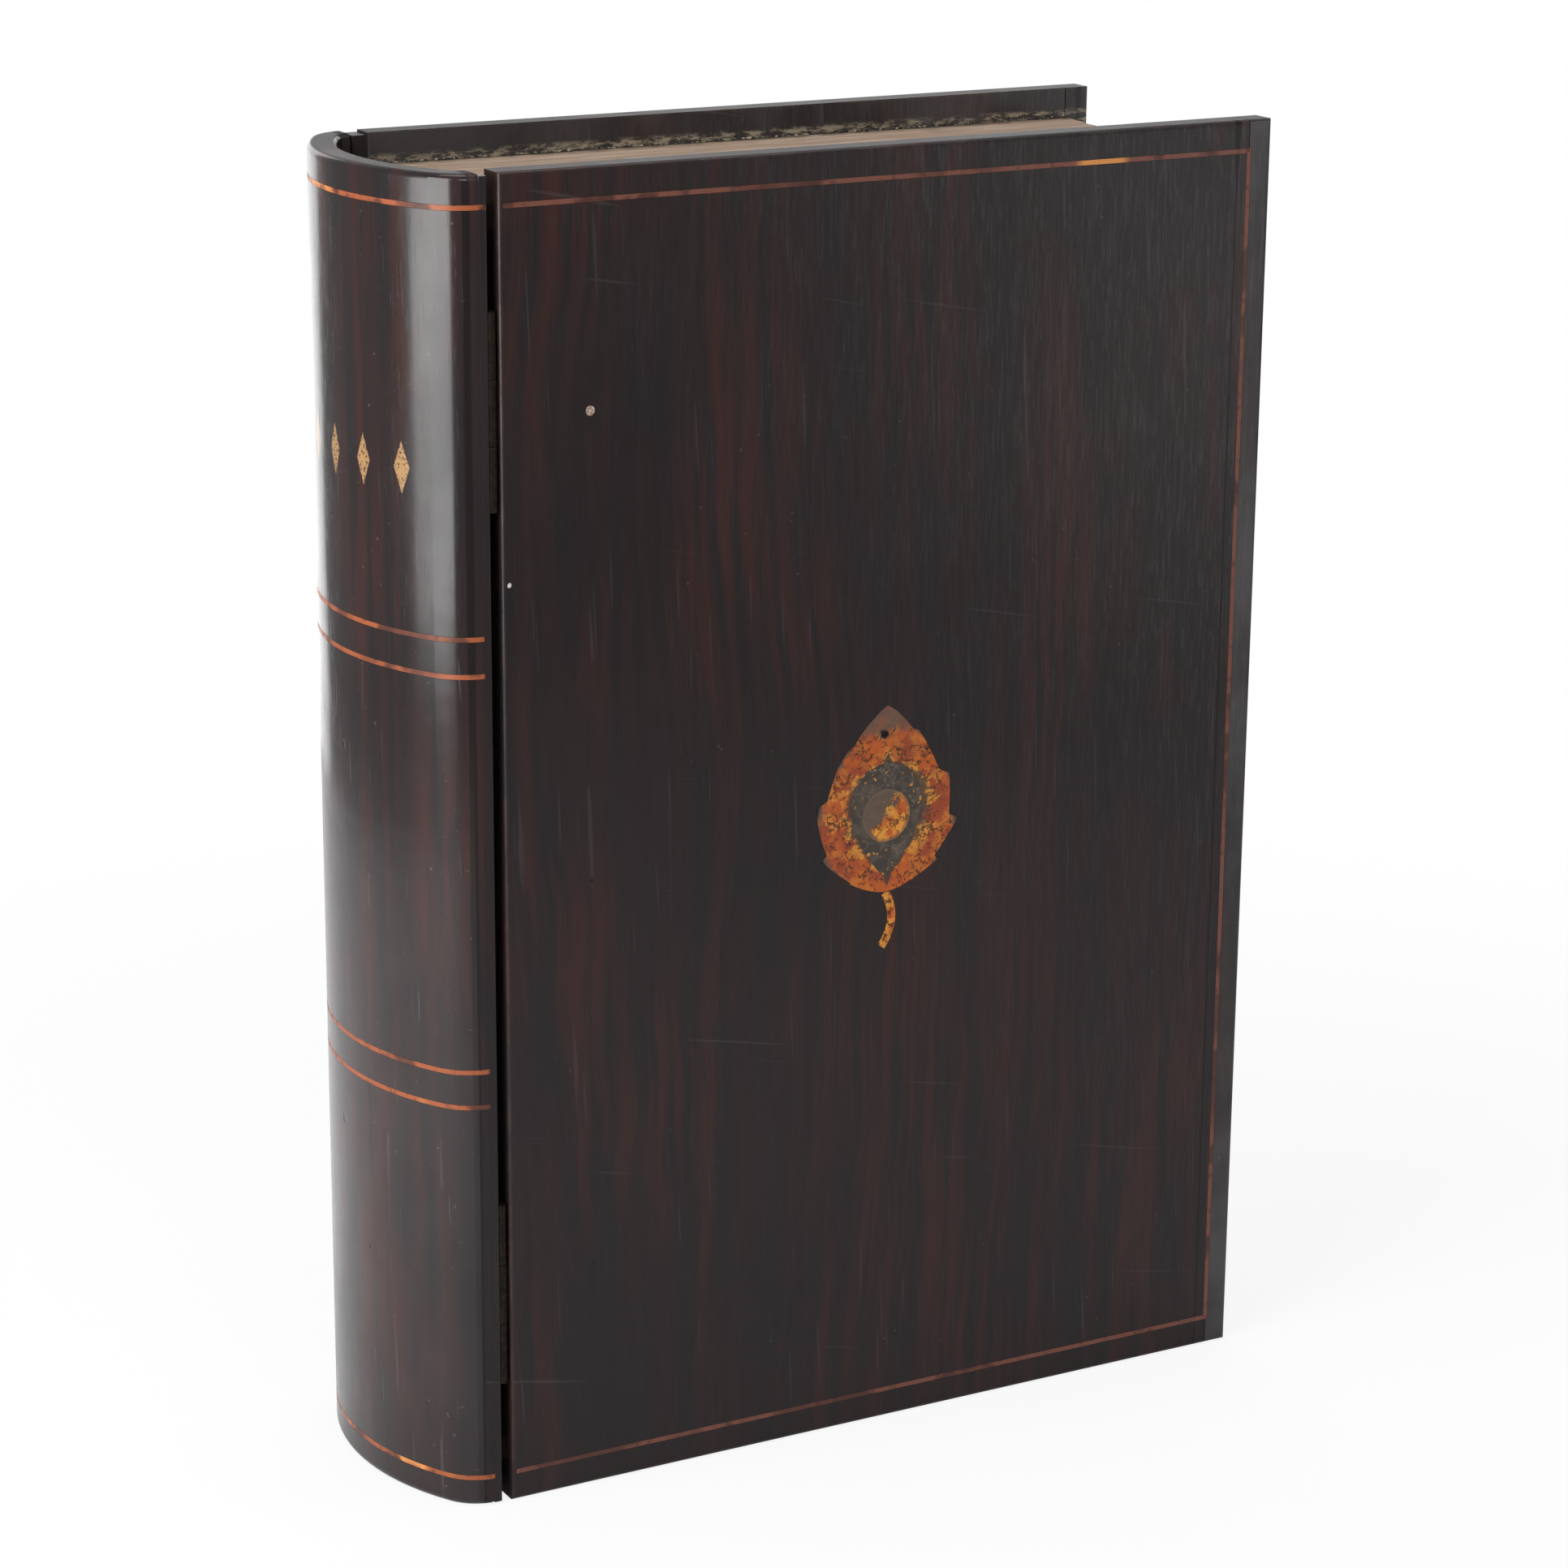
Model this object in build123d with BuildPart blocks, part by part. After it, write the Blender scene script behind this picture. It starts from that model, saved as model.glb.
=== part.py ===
from math import atan2, degrees, pi, sin
import os

from build123d import *

os.makedirs("parts", exist_ok=True)

# Driving sizes of the closed box, which stands on its tail with the lid facing -Y
box_height = 280.0
box_depth = 69.0
lid_width = 180.8
rear_setback = 6.4
board_thickness = 6.2
groove_width = 3.0
spine_bulge = 17.5
spine_shoulder = 11.0
spine_wall = 6.0

# The page block inside the covers, which is the box that holds the paper
head_recess = 6.6
fore_recess = 9.2
block_wall = 5.0
hinge_post_width = 7.0
lid_seat = 0.25
spine_glue_line = 0.3

# Compartments, with the letter side next to the spine
pen_side_width = 35.6
well_length = 38.0
envelope_length = 112.0
divider_thickness = 3.0
divider_drop = 8.0
housing_depth = 1.0
housing_fit = 0.1
lining_thickness = 0.6
lining_margin = 0.2
lid_lining_margin = 2.0

# Edge strips, which are tongued into the boards
strip_width = 5.6
strip_joint = 0.2
tongue_thickness = 2.0
tongue_depth = 3.0
tongue_fit = 0.1
tongue_stop = 14.0

# Inlaid stringing
string_width = 1.0
string_depth = 0.6
string_inset = 6.5
string_start = 1.0
inlay_fit = 0.05
band_pair_gap = 7.6
upper_pair_height = 184.0
lower_pair_height = 93.0

# Leaf inlay on the lid
leaf_across = 88.6
leaf_base_height = 121.6
leaf_length = 41.2
leaf_half_width = 15.4
leaf_fullness = 0.72
leaf_roundness = 0.8
leaf_right_teeth = (0.0, 0.13, 0.34, 0.59, 0.84, 1.0)
leaf_left_teeth = (0.0, 0.06, 0.21, 0.5, 0.77, 1.0)
leaf_rises = (0.12, 0.4, 0.75, 1.0)
leaf_tooth = 0.15
leaf_depth = 1.2
heart_rise = 3.6
heart_length = 25.0
heart_half_width = 8.6
heart_fullness = 1.5
heart_roundness = 0.5
boss_rise = 17.0
boss_radius = 5.8
stem_width = 2.0
stem_length = 12.0
stem_sway = 1.6
plug_across = 19.6
plug_height = 231.7
plug_radius = 1.0

# Butt hinges on the two edges that face each other across the groove
hinge_length = 40.0
hinge_inset = 27.0
knuckle_radius = 1.2
knuckle_setback = 1.3
knuckle_count = 3
knuckle_end_gap = 0.15
pin_radius = 0.5
pin_grip = 0.01
pin_running_fit = 0.05
leaf_plate_thickness = 0.6
leaf_plate_reach = 4.2
leaf_plate_setback = 1.1
screw_shank_radius = 0.4
screw_length = 4.0
screw_setback = 2.7
screw_pitch = 26.0
screw_slot = 0.2
screw_fit = 0.03
screws_per_plate = 2

# Rounded edges
board_arris = 1.0
spine_arris = 1.2
spine_rim = 1.6
spine_inner_rim = 0.8
inner_arris = 0.4
divider_arris = 0.8

# Planes that the pieces share
overall_width = spine_bulge + groove_width + lid_width
lid_fore_x = overall_width / 2
board_x = lid_fore_x - lid_width
spine_x = board_x - groove_width
rear_fore_x = lid_fore_x - rear_setback
block_fore_x = lid_fore_x - fore_recess
front_y = -box_depth / 2
rear_y = box_depth / 2
lid_back_y = front_y + board_thickness
rear_front_y = rear_y - board_thickness
block_front_y = lid_back_y + lid_seat
head_z = box_height - head_recess
tail_z = head_recess
cavity_top_z = head_z - block_wall
cavity_base_z = tail_z + block_wall
cavity_spine_x = spine_x + hinge_post_width
cavity_fore_x = block_fore_x - block_wall
floor_y = rear_front_y - lining_thickness
divider_front_y = block_front_y + divider_drop
divider_x = cavity_fore_x - pen_side_width - divider_thickness
hinge_axis_x = board_x - groove_width / 2
hinge_axis_y = front_y + knuckle_setback
screw_head_radius = screw_shank_radius + leaf_plate_thickness
hinge_heights = (hinge_inset + hinge_length / 2, box_height - hinge_inset - hinge_length / 2)
knuckle_length = hinge_length / knuckle_count
strip_x = lid_fore_x - strip_width
top_string_z = box_height - string_inset
band_heights = (
    string_inset,
    lower_pair_height - band_pair_gap / 2,
    lower_pair_height + band_pair_gap / 2,
    upper_pair_height - band_pair_gap / 2,
    upper_pair_height + band_pair_gap / 2,
    top_string_z,
)


def slab(x_limits, y_limits, z_limits, mode=Mode.ADD):
    """Add or cut a rectangular board given by its six faces."""
    middle = [sum(limits) / 2 for limits in (x_limits, y_limits, z_limits)]
    size = [limits[1] - limits[0] for limits in (x_limits, y_limits, z_limits)]
    with Locations(tuple(middle)):
        Box(*size, mode=mode)


def save(piece, name):
    """Label a finished piece and write it to the parts folder."""
    piece.label = name
    export_step(piece, f"parts/{name}.step")


def crown_radius(bulge, half_depth, shoulder):
    """Radius of the middle arc of a half oval, tangent to its two shoulder arcs."""
    return (bulge**2 + half_depth**2 - 2 * half_depth * shoulder) / (2 * (bulge - shoulder))


def half_oval(bulge, half_depth, shoulder, centre_y=0.0):
    """Plan of three tangent arcs that bulges to -X from the line of the spine's edges."""
    crown = crown_radius(bulge, half_depth, shoulder)
    crown_x = spine_x - bulge + crown
    rise = half_depth - shoulder
    half_turn = degrees(atan2(rise, crown - bulge))
    with BuildSketch() as plan:
        with BuildLine():
            CenterArc((spine_x, centre_y + rise), shoulder, 90, 90 - half_turn)
            CenterArc((crown_x, centre_y), crown, 180 - half_turn, 2 * half_turn)
            CenterArc((spine_x, centre_y - rise), shoulder, 180 + half_turn, 90 - half_turn)
            Line((spine_x, centre_y - half_depth), (spine_x, centre_y + half_depth))
        make_face()
    return plan.sketch


def spine_plan(depth):
    """Plan of the spine's solid column at a depth below its outer face."""
    return half_oval(spine_bulge - depth, box_depth / 2 - depth, spine_shoulder - depth)


def spine_layer(depth):
    """Plan of the spine's outer layer down to a depth."""
    with BuildSketch() as plan:
        add(spine_plan(0))
        add(spine_plan(depth), mode=Mode.SUBTRACT)
    return plan.sketch


# Spine shell: a hollow half column with rounded rims, inlaid with six rings
with BuildPart() as spine_column:
    extrude(spine_plan(0), amount=box_height)
    corner_edges = spine_column.edges().filter_by(Axis.Z).sort_by(Axis.X)[-2:]
    fillet(corner_edges, spine_arris)


def band(height, width, depth):
    """Ring of stringing that follows the rounded column."""
    with BuildPart() as ring:
        with Locations((0, 0, height)):
            add(extrude(spine_layer(depth), amount=width / 2, both=True, mode=Mode.PRIVATE))
        add(spine_column.part, mode=Mode.INTERSECT)
    return ring.part


with BuildPart() as spine_shell:
    add(spine_column.part)
    outer_rims = spine_shell.faces().filter_by(Axis.Z).edges()
    fillet(outer_rims.filter_by(GeomType.CIRCLE), spine_rim)
    extrude(spine_plan(spine_wall), amount=box_height, mode=Mode.SUBTRACT)
    inner_rims = spine_shell.edges(Select.LAST).filter_by(GeomType.CIRCLE)
    chamfer(inner_rims, spine_inner_rim)
    for height in band_heights:
        add(band(height, string_width + 2 * inlay_fit, string_depth + inlay_fit), mode=Mode.SUBTRACT)
save(spine_shell.part, "spine_shell")

band_names = ("tail", "lower_a", "lower_b", "upper_a", "upper_b", "head")
for band_name, height in zip(band_names, band_heights):
    with BuildPart() as spine_band:
        add(band(height, string_width, string_depth))
    save(spine_band.part, f"spine_band_{band_name}")


# Page block: head and tail boards with rounded ends, joined by two walls
def block_end(base_z):
    """Board whose rounded end fills the hollow of the spine."""
    middle_y = (block_front_y + rear_front_y) / 2
    half_depth = (rear_front_y - block_front_y) / 2
    end_bulge = spine_bulge - spine_wall - spine_glue_line
    with BuildPart() as board:
        with BuildSketch(Plane.XY.offset(base_z)):
            add(half_oval(end_bulge, half_depth, spine_shoulder - spine_wall, middle_y))
            with Locations(((spine_x + block_fore_x) / 2, middle_y)):
                Rectangle(block_fore_x - spine_x, 2 * half_depth)
        extrude(amount=block_wall)
    return board.part


def divider_housing(base_z):
    """Shallow trench that takes the end of the long divider."""
    slab(
        (divider_x - housing_fit, divider_x + divider_thickness + housing_fit),
        (divider_front_y - housing_fit, rear_front_y),
        (base_z, base_z + housing_depth + housing_fit),
        mode=Mode.SUBTRACT,
    )


with BuildPart() as head_board:
    add(block_end(cavity_top_z))
    divider_housing(cavity_top_z)
    fillet(head_board.faces().sort_by(Axis.Z)[-1].edges().sort_by(Axis.X)[-1], inner_arris)
save(head_board.part, "head_board")

with BuildPart() as tail_board:
    add(block_end(tail_z))
    divider_housing(cavity_base_z - housing_depth - housing_fit)
    fillet(tail_board.faces().sort_by(Axis.Z)[0].edges().sort_by(Axis.X)[-1], inner_arris)
save(tail_board.part, "tail_board")

with BuildPart() as fore_edge_wall:
    slab(
        (cavity_fore_x, block_fore_x),
        (block_front_y, rear_front_y),
        (cavity_base_z, cavity_top_z),
    )
save(fore_edge_wall.part, "fore_edge_wall")

with BuildPart() as spine_side_wall:
    slab(
        (spine_x, cavity_spine_x),
        (block_front_y, rear_front_y),
        (cavity_base_z, cavity_top_z),
    )
save(spine_side_wall.part, "spine_side_wall")


# Compartment dividers, housed in the head and tail boards
with BuildPart() as long_divider:
    slab(
        (divider_x, divider_x + divider_thickness),
        (divider_front_y, floor_y),
        (cavity_base_z - housing_depth, cavity_top_z + housing_depth),
    )
    front_edges = long_divider.edges().filter_by(Axis.Z).group_by(Axis.Y)[0]
    fillet(front_edges, divider_arris)
save(long_divider.part, "long_divider")

cross_dividers = {
    "envelope_divider": (cavity_spine_x, divider_x, cavity_top_z - envelope_length),
    "ink_well_divider": (divider_x + divider_thickness, cavity_fore_x, cavity_base_z + well_length),
    "stamp_well_divider": (divider_x + divider_thickness, cavity_fore_x, cavity_top_z - well_length),
}
for divider_name, (left_x, right_x, middle_z) in cross_dividers.items():
    with BuildPart() as cross_divider:
        slab(
            (left_x, right_x),
            (divider_front_y, floor_y),
            (middle_z - divider_thickness / 2, middle_z + divider_thickness / 2),
        )
        front_edges = cross_divider.edges().filter_by(Axis.X).group_by(Axis.Y)[0]
        fillet(front_edges, divider_arris)
    save(cross_divider.part, divider_name)

with BuildPart() as case_lining:
    slab(
        (cavity_spine_x + lining_margin, cavity_fore_x - lining_margin),
        (floor_y, rear_front_y),
        (cavity_base_z + lining_margin, cavity_top_z - lining_margin),
    )
save(case_lining.part, "case_lining")


# Covers: each is a panel with a separate strip tongued to its fore edge
def panel(fore_x, y_limits):
    """Board from the groove to the strip's joint, with a trench for the tongue."""
    joint_x = fore_x - strip_width - strip_joint
    middle_y = sum(y_limits) / 2
    half_slot = tongue_thickness / 2 + tongue_fit
    slab((board_x, joint_x), y_limits, (0, box_height))
    slab(
        (joint_x - tongue_depth, joint_x),
        (middle_y - half_slot, middle_y + half_slot),
        (tongue_stop, box_height - tongue_stop),
        mode=Mode.SUBTRACT,
    )


def strip(fore_x, y_limits):
    """Fore edge strip with its tongue."""
    middle_y = sum(y_limits) / 2
    slab((fore_x - strip_width, fore_x), y_limits, (0, box_height))
    slab(
        (fore_x - strip_width - tongue_depth, fore_x - strip_width),
        (middle_y - tongue_thickness / 2, middle_y + tongue_thickness / 2),
        (tongue_stop + tongue_fit, box_height - tongue_stop - tongue_fit),
    )


def edges_off_joint(face):
    """Edges of a panel's outer face, without the one at the strip's joint."""
    return face.edges().sort_by(Axis.X)[:-1]


def strip_edges_off_joint(face):
    """Edges of a strip's outer face, without the one at its joint with the panel."""
    return face.edges().sort_by(Axis.X)[1:]


rear_limits = (rear_front_y, rear_y)
with BuildPart() as rear_board:
    panel(rear_fore_x, rear_limits)
    fillet(edges_off_joint(rear_board.faces().sort_by(Axis.Y)[-1]), board_arris)
save(rear_board.part, "rear_board")

with BuildPart() as rear_edge_strip:
    strip(rear_fore_x, rear_limits)
    fillet(strip_edges_off_joint(rear_edge_strip.faces().sort_by(Axis.Y)[-1]), board_arris)
save(rear_edge_strip.part, "rear_edge_strip")


# Inlays of the lid, each drawn with a margin so that its pocket is a little larger
lid_leaf_face = Plane((0, front_y + leaf_depth, 0), (1, 0, 0), (0, -1, 0))
leaf_x = board_x + leaf_across
vertical_string_x = strip_x - strip_joint / 2


def cross_string(height, margin):
    """Horizontal line of stringing that stops at the vertical one."""
    left_x = board_x + string_start - margin
    right_x = vertical_string_x - string_width / 2 - inlay_fit + margin
    slab(
        (left_x, right_x),
        (front_y, front_y + string_depth + margin),
        (height - string_width / 2 - margin, height + string_width / 2 + margin),
        mode=Mode.ADD if margin == 0 else Mode.SUBTRACT,
    )


def fore_string(margin):
    """Vertical line of stringing over the joint of the strip."""
    half = string_width / 2 + margin
    slab(
        (vertical_string_x - half, vertical_string_x + half),
        (front_y, front_y + string_depth + margin),
        (string_inset - half, top_string_z + half),
        mode=Mode.ADD if margin == 0 else Mode.SUBTRACT,
    )


def leaf_side(form, teeth):
    """Points up one side, which swells by a power of a sine and steps back after each tooth."""
    length, half_width, fullness, roundness, tooth = form
    side = []
    for start, end in zip(teeth, teeth[1:]):
        for rise in leaf_rises:
            share = start + (end - start) * rise
            swell = sin(pi * share**fullness) ** roundness if share < 1 else 0
            side.append((half_width * swell * (1 + tooth * rise**2), share * length))
    return side[:-1]


def leaf_outline(base_z, form, margin):
    """Toothed leaf, grown all round by a margin."""
    length = form[0]
    right = leaf_side(form, leaf_right_teeth)
    left = leaf_side(form, leaf_left_teeth)
    right_points = [(leaf_x + across, base_z + height) for across, height in right]
    left_points = [(leaf_x - across, base_z + height) for across, height in reversed(left)]
    with BuildSketch(lid_leaf_face) as outline:
        with BuildLine():
            Polyline((leaf_x, base_z), *right_points, (leaf_x, base_z + length), *left_points, close=True)
        make_face()
        if margin > 0:
            offset(amount=margin, kind=Kind.INTERSECTION)
    return outline.sketch


def blade(margin):
    """Outline of the toothed blade."""
    form = (leaf_length, leaf_half_width, leaf_fullness, leaf_roundness, leaf_tooth)
    return leaf_outline(leaf_base_height, form, margin)


def heart(margin):
    """Outline of the dark field inside the blade."""
    form = (heart_length, heart_half_width, heart_fullness, heart_roundness, 0)
    return leaf_outline(leaf_base_height + heart_rise, form, margin)


def boss(margin):
    """Outline of the round boss inside the dark field."""
    with BuildSketch(lid_leaf_face) as outline:
        with Locations((leaf_x, leaf_base_height + boss_rise)):
            Circle(boss_radius + margin)
    return outline.sketch


def stem(margin):
    """Outline of the curved stalk, which meets the blade at its base."""
    top_z = leaf_base_height - inlay_fit
    with BuildSketch(lid_leaf_face) as outline:
        with BuildLine() as stalk:
            Spline(
                (leaf_x, top_z + margin),
                (leaf_x + stem_sway, top_z - stem_length / 2),
                (leaf_x - stem_sway / 2, top_z - stem_length - margin),
            )
        trace(stalk.line, stem_width + 2 * margin)
        with Locations((leaf_x, top_z + margin)):
            Rectangle(
                2 * stem_width,
                stem_width,
                align=(Align.CENTER, Align.MIN),
                mode=Mode.SUBTRACT,
            )
    return outline.sketch


# The lid: panel, strip, stringing, leaf, plug and lining, hinged at the groove
lid_limits = (front_y, lid_back_y)
plug_place = Location((board_x + plug_across, front_y, plug_height), (90, 0, 0))
plug_depth = 2 * leaf_depth

with BuildPart() as lid_panel:
    panel(lid_fore_x, lid_limits)
    fillet(edges_off_joint(lid_panel.faces().sort_by(Axis.Y)[0]), board_arris)
    cross_string(string_inset, inlay_fit)
    cross_string(top_string_z, inlay_fit)
    fore_string(inlay_fit)
    extrude(blade(inlay_fit), amount=leaf_depth, mode=Mode.SUBTRACT)
    extrude(stem(inlay_fit), amount=leaf_depth, mode=Mode.SUBTRACT)
    with Locations(plug_place):
        Cylinder(
            plug_radius + inlay_fit,
            2 * plug_depth,
            mode=Mode.SUBTRACT,
        )
save(lid_panel.part, "lid_panel")

with BuildPart() as lid_edge_strip:
    strip(lid_fore_x, lid_limits)
    fillet(strip_edges_off_joint(lid_edge_strip.faces().sort_by(Axis.Y)[0]), board_arris)
    fore_string(inlay_fit)
save(lid_edge_strip.part, "lid_edge_strip")

for string_name, height in (("tail", string_inset), ("head", top_string_z)):
    with BuildPart() as lid_string:
        cross_string(height, 0)
    save(lid_string.part, f"lid_string_{string_name}")

with BuildPart() as lid_string_fore:
    fore_string(0)
save(lid_string_fore.part, "lid_string_fore")

with BuildPart() as leaf_blade:
    extrude(blade(0), amount=leaf_depth)
    extrude(heart(inlay_fit), amount=leaf_depth, mode=Mode.SUBTRACT)
save(leaf_blade.part, "leaf_blade")

with BuildPart() as leaf_heart:
    extrude(heart(0), amount=leaf_depth)
    extrude(boss(inlay_fit), amount=leaf_depth, mode=Mode.SUBTRACT)
save(leaf_heart.part, "leaf_heart")

with BuildPart() as leaf_boss:
    extrude(boss(0), amount=leaf_depth)
save(leaf_boss.part, "leaf_boss")

with BuildPart() as leaf_stem:
    extrude(stem(0), amount=leaf_depth)
save(leaf_stem.part, "leaf_stem")

with BuildPart() as lid_plug:
    with Locations(plug_place):
        Cylinder(
            plug_radius,
            plug_depth,
            align=(Align.CENTER, Align.CENTER, Align.MAX),
        )
save(lid_plug.part, "lid_plug")

with BuildPart() as lid_lining:
    slab(
        (cavity_spine_x + lid_lining_margin, cavity_fore_x - lid_lining_margin),
        (lid_back_y, lid_back_y + lining_thickness),
        (cavity_base_z + lid_lining_margin, cavity_top_z - lid_lining_margin),
    )
save(lid_lining.part, "lid_lining")


# Hinges: the case plate holds the outer knuckles and the lid plate the middle one
def knuckle_limits(number):
    """Heights of one knuckle, measured from the hinge's lower end."""
    start = number * knuckle_length
    return start + knuckle_end_gap / 2, start + knuckle_length - knuckle_end_gap / 2


def hinge_plate(base_z, inner_x, side, knuckles, bore_fit):
    """Plate against an edge, with fingers that run out to its own knuckles."""
    outer_x = inner_x + side * leaf_plate_thickness
    x_limits = (min(inner_x, outer_x), max(inner_x, outer_x))
    y_far = hinge_axis_y + leaf_plate_reach
    y_near = hinge_axis_y + leaf_plate_setback
    slab(x_limits, (y_near, y_far), (base_z, base_z + hinge_length))
    for number in knuckles:
        low, high = knuckle_limits(number)
        slab(x_limits, (hinge_axis_y, y_near), (base_z + low, base_z + high))
        with Locations((hinge_axis_x, hinge_axis_y, base_z + low)):
            Cylinder(knuckle_radius, high - low, align=(Align.CENTER, Align.CENTER, Align.MIN))
            Cylinder(
                pin_radius + bore_fit,
                high - low,
                align=(Align.CENTER, Align.CENTER, Align.MIN),
                mode=Mode.SUBTRACT,
            )


def screw_holes(base_z, inner_x, side):
    """Countersunk holes through a plate."""
    face_x = inner_x + side * leaf_plate_thickness
    with Locations((face_x, hinge_axis_y + screw_setback, base_z + hinge_length / 2)):
        with Locations(Rotation(0, -90 * side, 0)):
            with GridLocations(screw_pitch, 1, screws_per_plate, 1):
                Cone(
                    screw_head_radius + screw_fit,
                    screw_shank_radius + screw_fit,
                    leaf_plate_thickness,
                    align=(Align.CENTER, Align.CENTER, Align.MIN),
                    mode=Mode.SUBTRACT,
                )


def plate_screws(base_z, inner_x, side):
    """Slotted countersunk screws, flush with the plate."""
    face_x = inner_x + side * leaf_plate_thickness
    with Locations((face_x, hinge_axis_y + screw_setback, base_z + hinge_length / 2)):
        with Locations(Rotation(0, -90 * side, 0)):
            with GridLocations(screw_pitch, 1, screws_per_plate, 1):
                Cone(
                    screw_head_radius,
                    screw_shank_radius,
                    leaf_plate_thickness,
                    align=(Align.CENTER, Align.CENTER, Align.MIN),
                )
                Cylinder(
                    screw_shank_radius,
                    screw_length,
                    align=(Align.CENTER, Align.CENTER, Align.MIN),
                )
                Box(1.5 * screw_head_radius, screw_slot, screw_slot, mode=Mode.SUBTRACT)


case_knuckles = range(0, knuckle_count, 2)
lid_knuckles = range(1, knuckle_count, 2)
for hinge_name, hinge_z in zip(("lower", "upper"), hinge_heights):
    hinge_base_z = hinge_z - hinge_length / 2

    with BuildPart() as case_plate:
        hinge_plate(hinge_base_z, spine_x, 1, case_knuckles, pin_grip)
        screw_holes(hinge_base_z, spine_x, 1)
    save(case_plate.part, f"hinge_plate_case_{hinge_name}")

    with BuildPart() as lid_plate:
        hinge_plate(hinge_base_z, board_x, -1, lid_knuckles, pin_running_fit)
        screw_holes(hinge_base_z, board_x, -1)
    save(lid_plate.part, f"hinge_plate_lid_{hinge_name}")

    with BuildPart() as hinge_pin:
        with Locations((hinge_axis_x, hinge_axis_y, hinge_base_z)):
            Cylinder(pin_radius, hinge_length, align=(Align.CENTER, Align.CENTER, Align.MIN))
    save(hinge_pin.part, f"hinge_pin_{hinge_name}")

    with BuildPart() as case_screws:
        plate_screws(hinge_base_z, spine_x, 1)
    save(case_screws.part, f"hinge_screws_case_{hinge_name}")

    with BuildPart() as lid_screws:
        plate_screws(hinge_base_z, board_x, -1)
    save(lid_screws.part, f"hinge_screws_lid_{hinge_name}")
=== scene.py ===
"""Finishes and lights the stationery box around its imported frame, from the photograph's viewpoint."""

from math import cos, pi, radians, sin

import bpy
import numpy as np
from mathutils import Matrix, Vector


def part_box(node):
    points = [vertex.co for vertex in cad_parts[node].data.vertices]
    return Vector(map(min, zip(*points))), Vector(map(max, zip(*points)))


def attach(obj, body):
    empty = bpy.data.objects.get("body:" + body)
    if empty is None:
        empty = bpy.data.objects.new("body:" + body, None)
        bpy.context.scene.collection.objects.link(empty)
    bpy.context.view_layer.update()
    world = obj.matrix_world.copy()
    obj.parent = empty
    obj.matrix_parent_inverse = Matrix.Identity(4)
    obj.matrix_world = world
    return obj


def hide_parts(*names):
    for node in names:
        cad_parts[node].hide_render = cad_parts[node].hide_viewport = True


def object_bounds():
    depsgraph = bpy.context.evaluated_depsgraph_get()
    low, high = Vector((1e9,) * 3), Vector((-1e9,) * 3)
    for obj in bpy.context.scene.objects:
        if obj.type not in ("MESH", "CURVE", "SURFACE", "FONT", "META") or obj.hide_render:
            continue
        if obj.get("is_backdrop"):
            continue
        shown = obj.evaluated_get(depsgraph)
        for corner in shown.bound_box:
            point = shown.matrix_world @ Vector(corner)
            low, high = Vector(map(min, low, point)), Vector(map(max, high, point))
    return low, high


bl_info = {
    "name": "Stationery Box Finisher",
    "version": (1, 0, 0),
    "blender": (4, 5, 0),
    "location": "View3D > Sidebar > Stationery Box",
    "description": "Dresses a book-shaped stationery box with its polish, stringing, leaf and page edges",
    "category": "Object",
}

MM = 0.001

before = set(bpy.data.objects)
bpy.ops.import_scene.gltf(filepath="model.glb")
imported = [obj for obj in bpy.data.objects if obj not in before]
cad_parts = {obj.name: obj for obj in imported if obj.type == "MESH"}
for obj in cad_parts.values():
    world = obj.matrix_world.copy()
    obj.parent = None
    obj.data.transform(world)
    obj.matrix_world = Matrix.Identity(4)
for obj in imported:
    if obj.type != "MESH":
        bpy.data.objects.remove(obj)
cad_low, cad_high = (Vector(corner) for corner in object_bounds())
lid_low, lid_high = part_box("lid_panel")
strip_low, strip_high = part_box("lid_edge_strip")
rear_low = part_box("rear_board")[0]
spine_low, spine_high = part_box("spine_shell")
head_low, head_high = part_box("head_board")
blade_low, blade_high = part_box("leaf_blade")
heart_low, heart_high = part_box("leaf_heart")
boss_low, boss_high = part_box("leaf_boss")
leaf_middle = (blade_low + blade_high) / 2
boss_middle = (boss_low + boss_high) / 2

FAR = 1.0
ROWS_PER_SHEET = 4
POINTS_PER_SHEET = 5
PAGE_COLUMNS = 40
FLOOR_SIDES = 96
FLOOR_DROP = 0.1 * MM
# Painted shade: near black in the small pits and holes, whose depth is only a bump
PIT_SHADE = (0.003, 0.0025, 0.0025, 1.0)
IVORY = (0.45, 0.42, 0.38, 1.0)

MIDDLE = (0.0, 0.0, 0.14)

# Place, point that it faces, size and power of each soft light
LAMPS = {
    "left_softbox": ((-0.68, -0.19, 0.45), (-0.10, -0.02, 0.45), (0.66, 0.85), 13.0),
    "front_softbox": ((-0.2, -1.3, 1.0), MIDDLE, (0.8, 0.6), 5.5),
    "top_softbox": ((0.15, 0.1, 1.3), MIDDLE, (0.9, 0.9), 7.0),
    "right_softbox": ((1.1, -0.7, 0.6), MIDDLE, (0.6, 0.9), 3.2),
    "low_right_softbox": ((1.05, -1.15, 0.06), (0.05, 0.0, 0.2), (0.55, 0.45), 1.3),
    "back_softbox": ((0.55, 1.3, 0.35), (0.1, 0.0, 0.35), (1.8, 1.5), 12.0),
}


# Short ways to build shader trees


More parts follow.
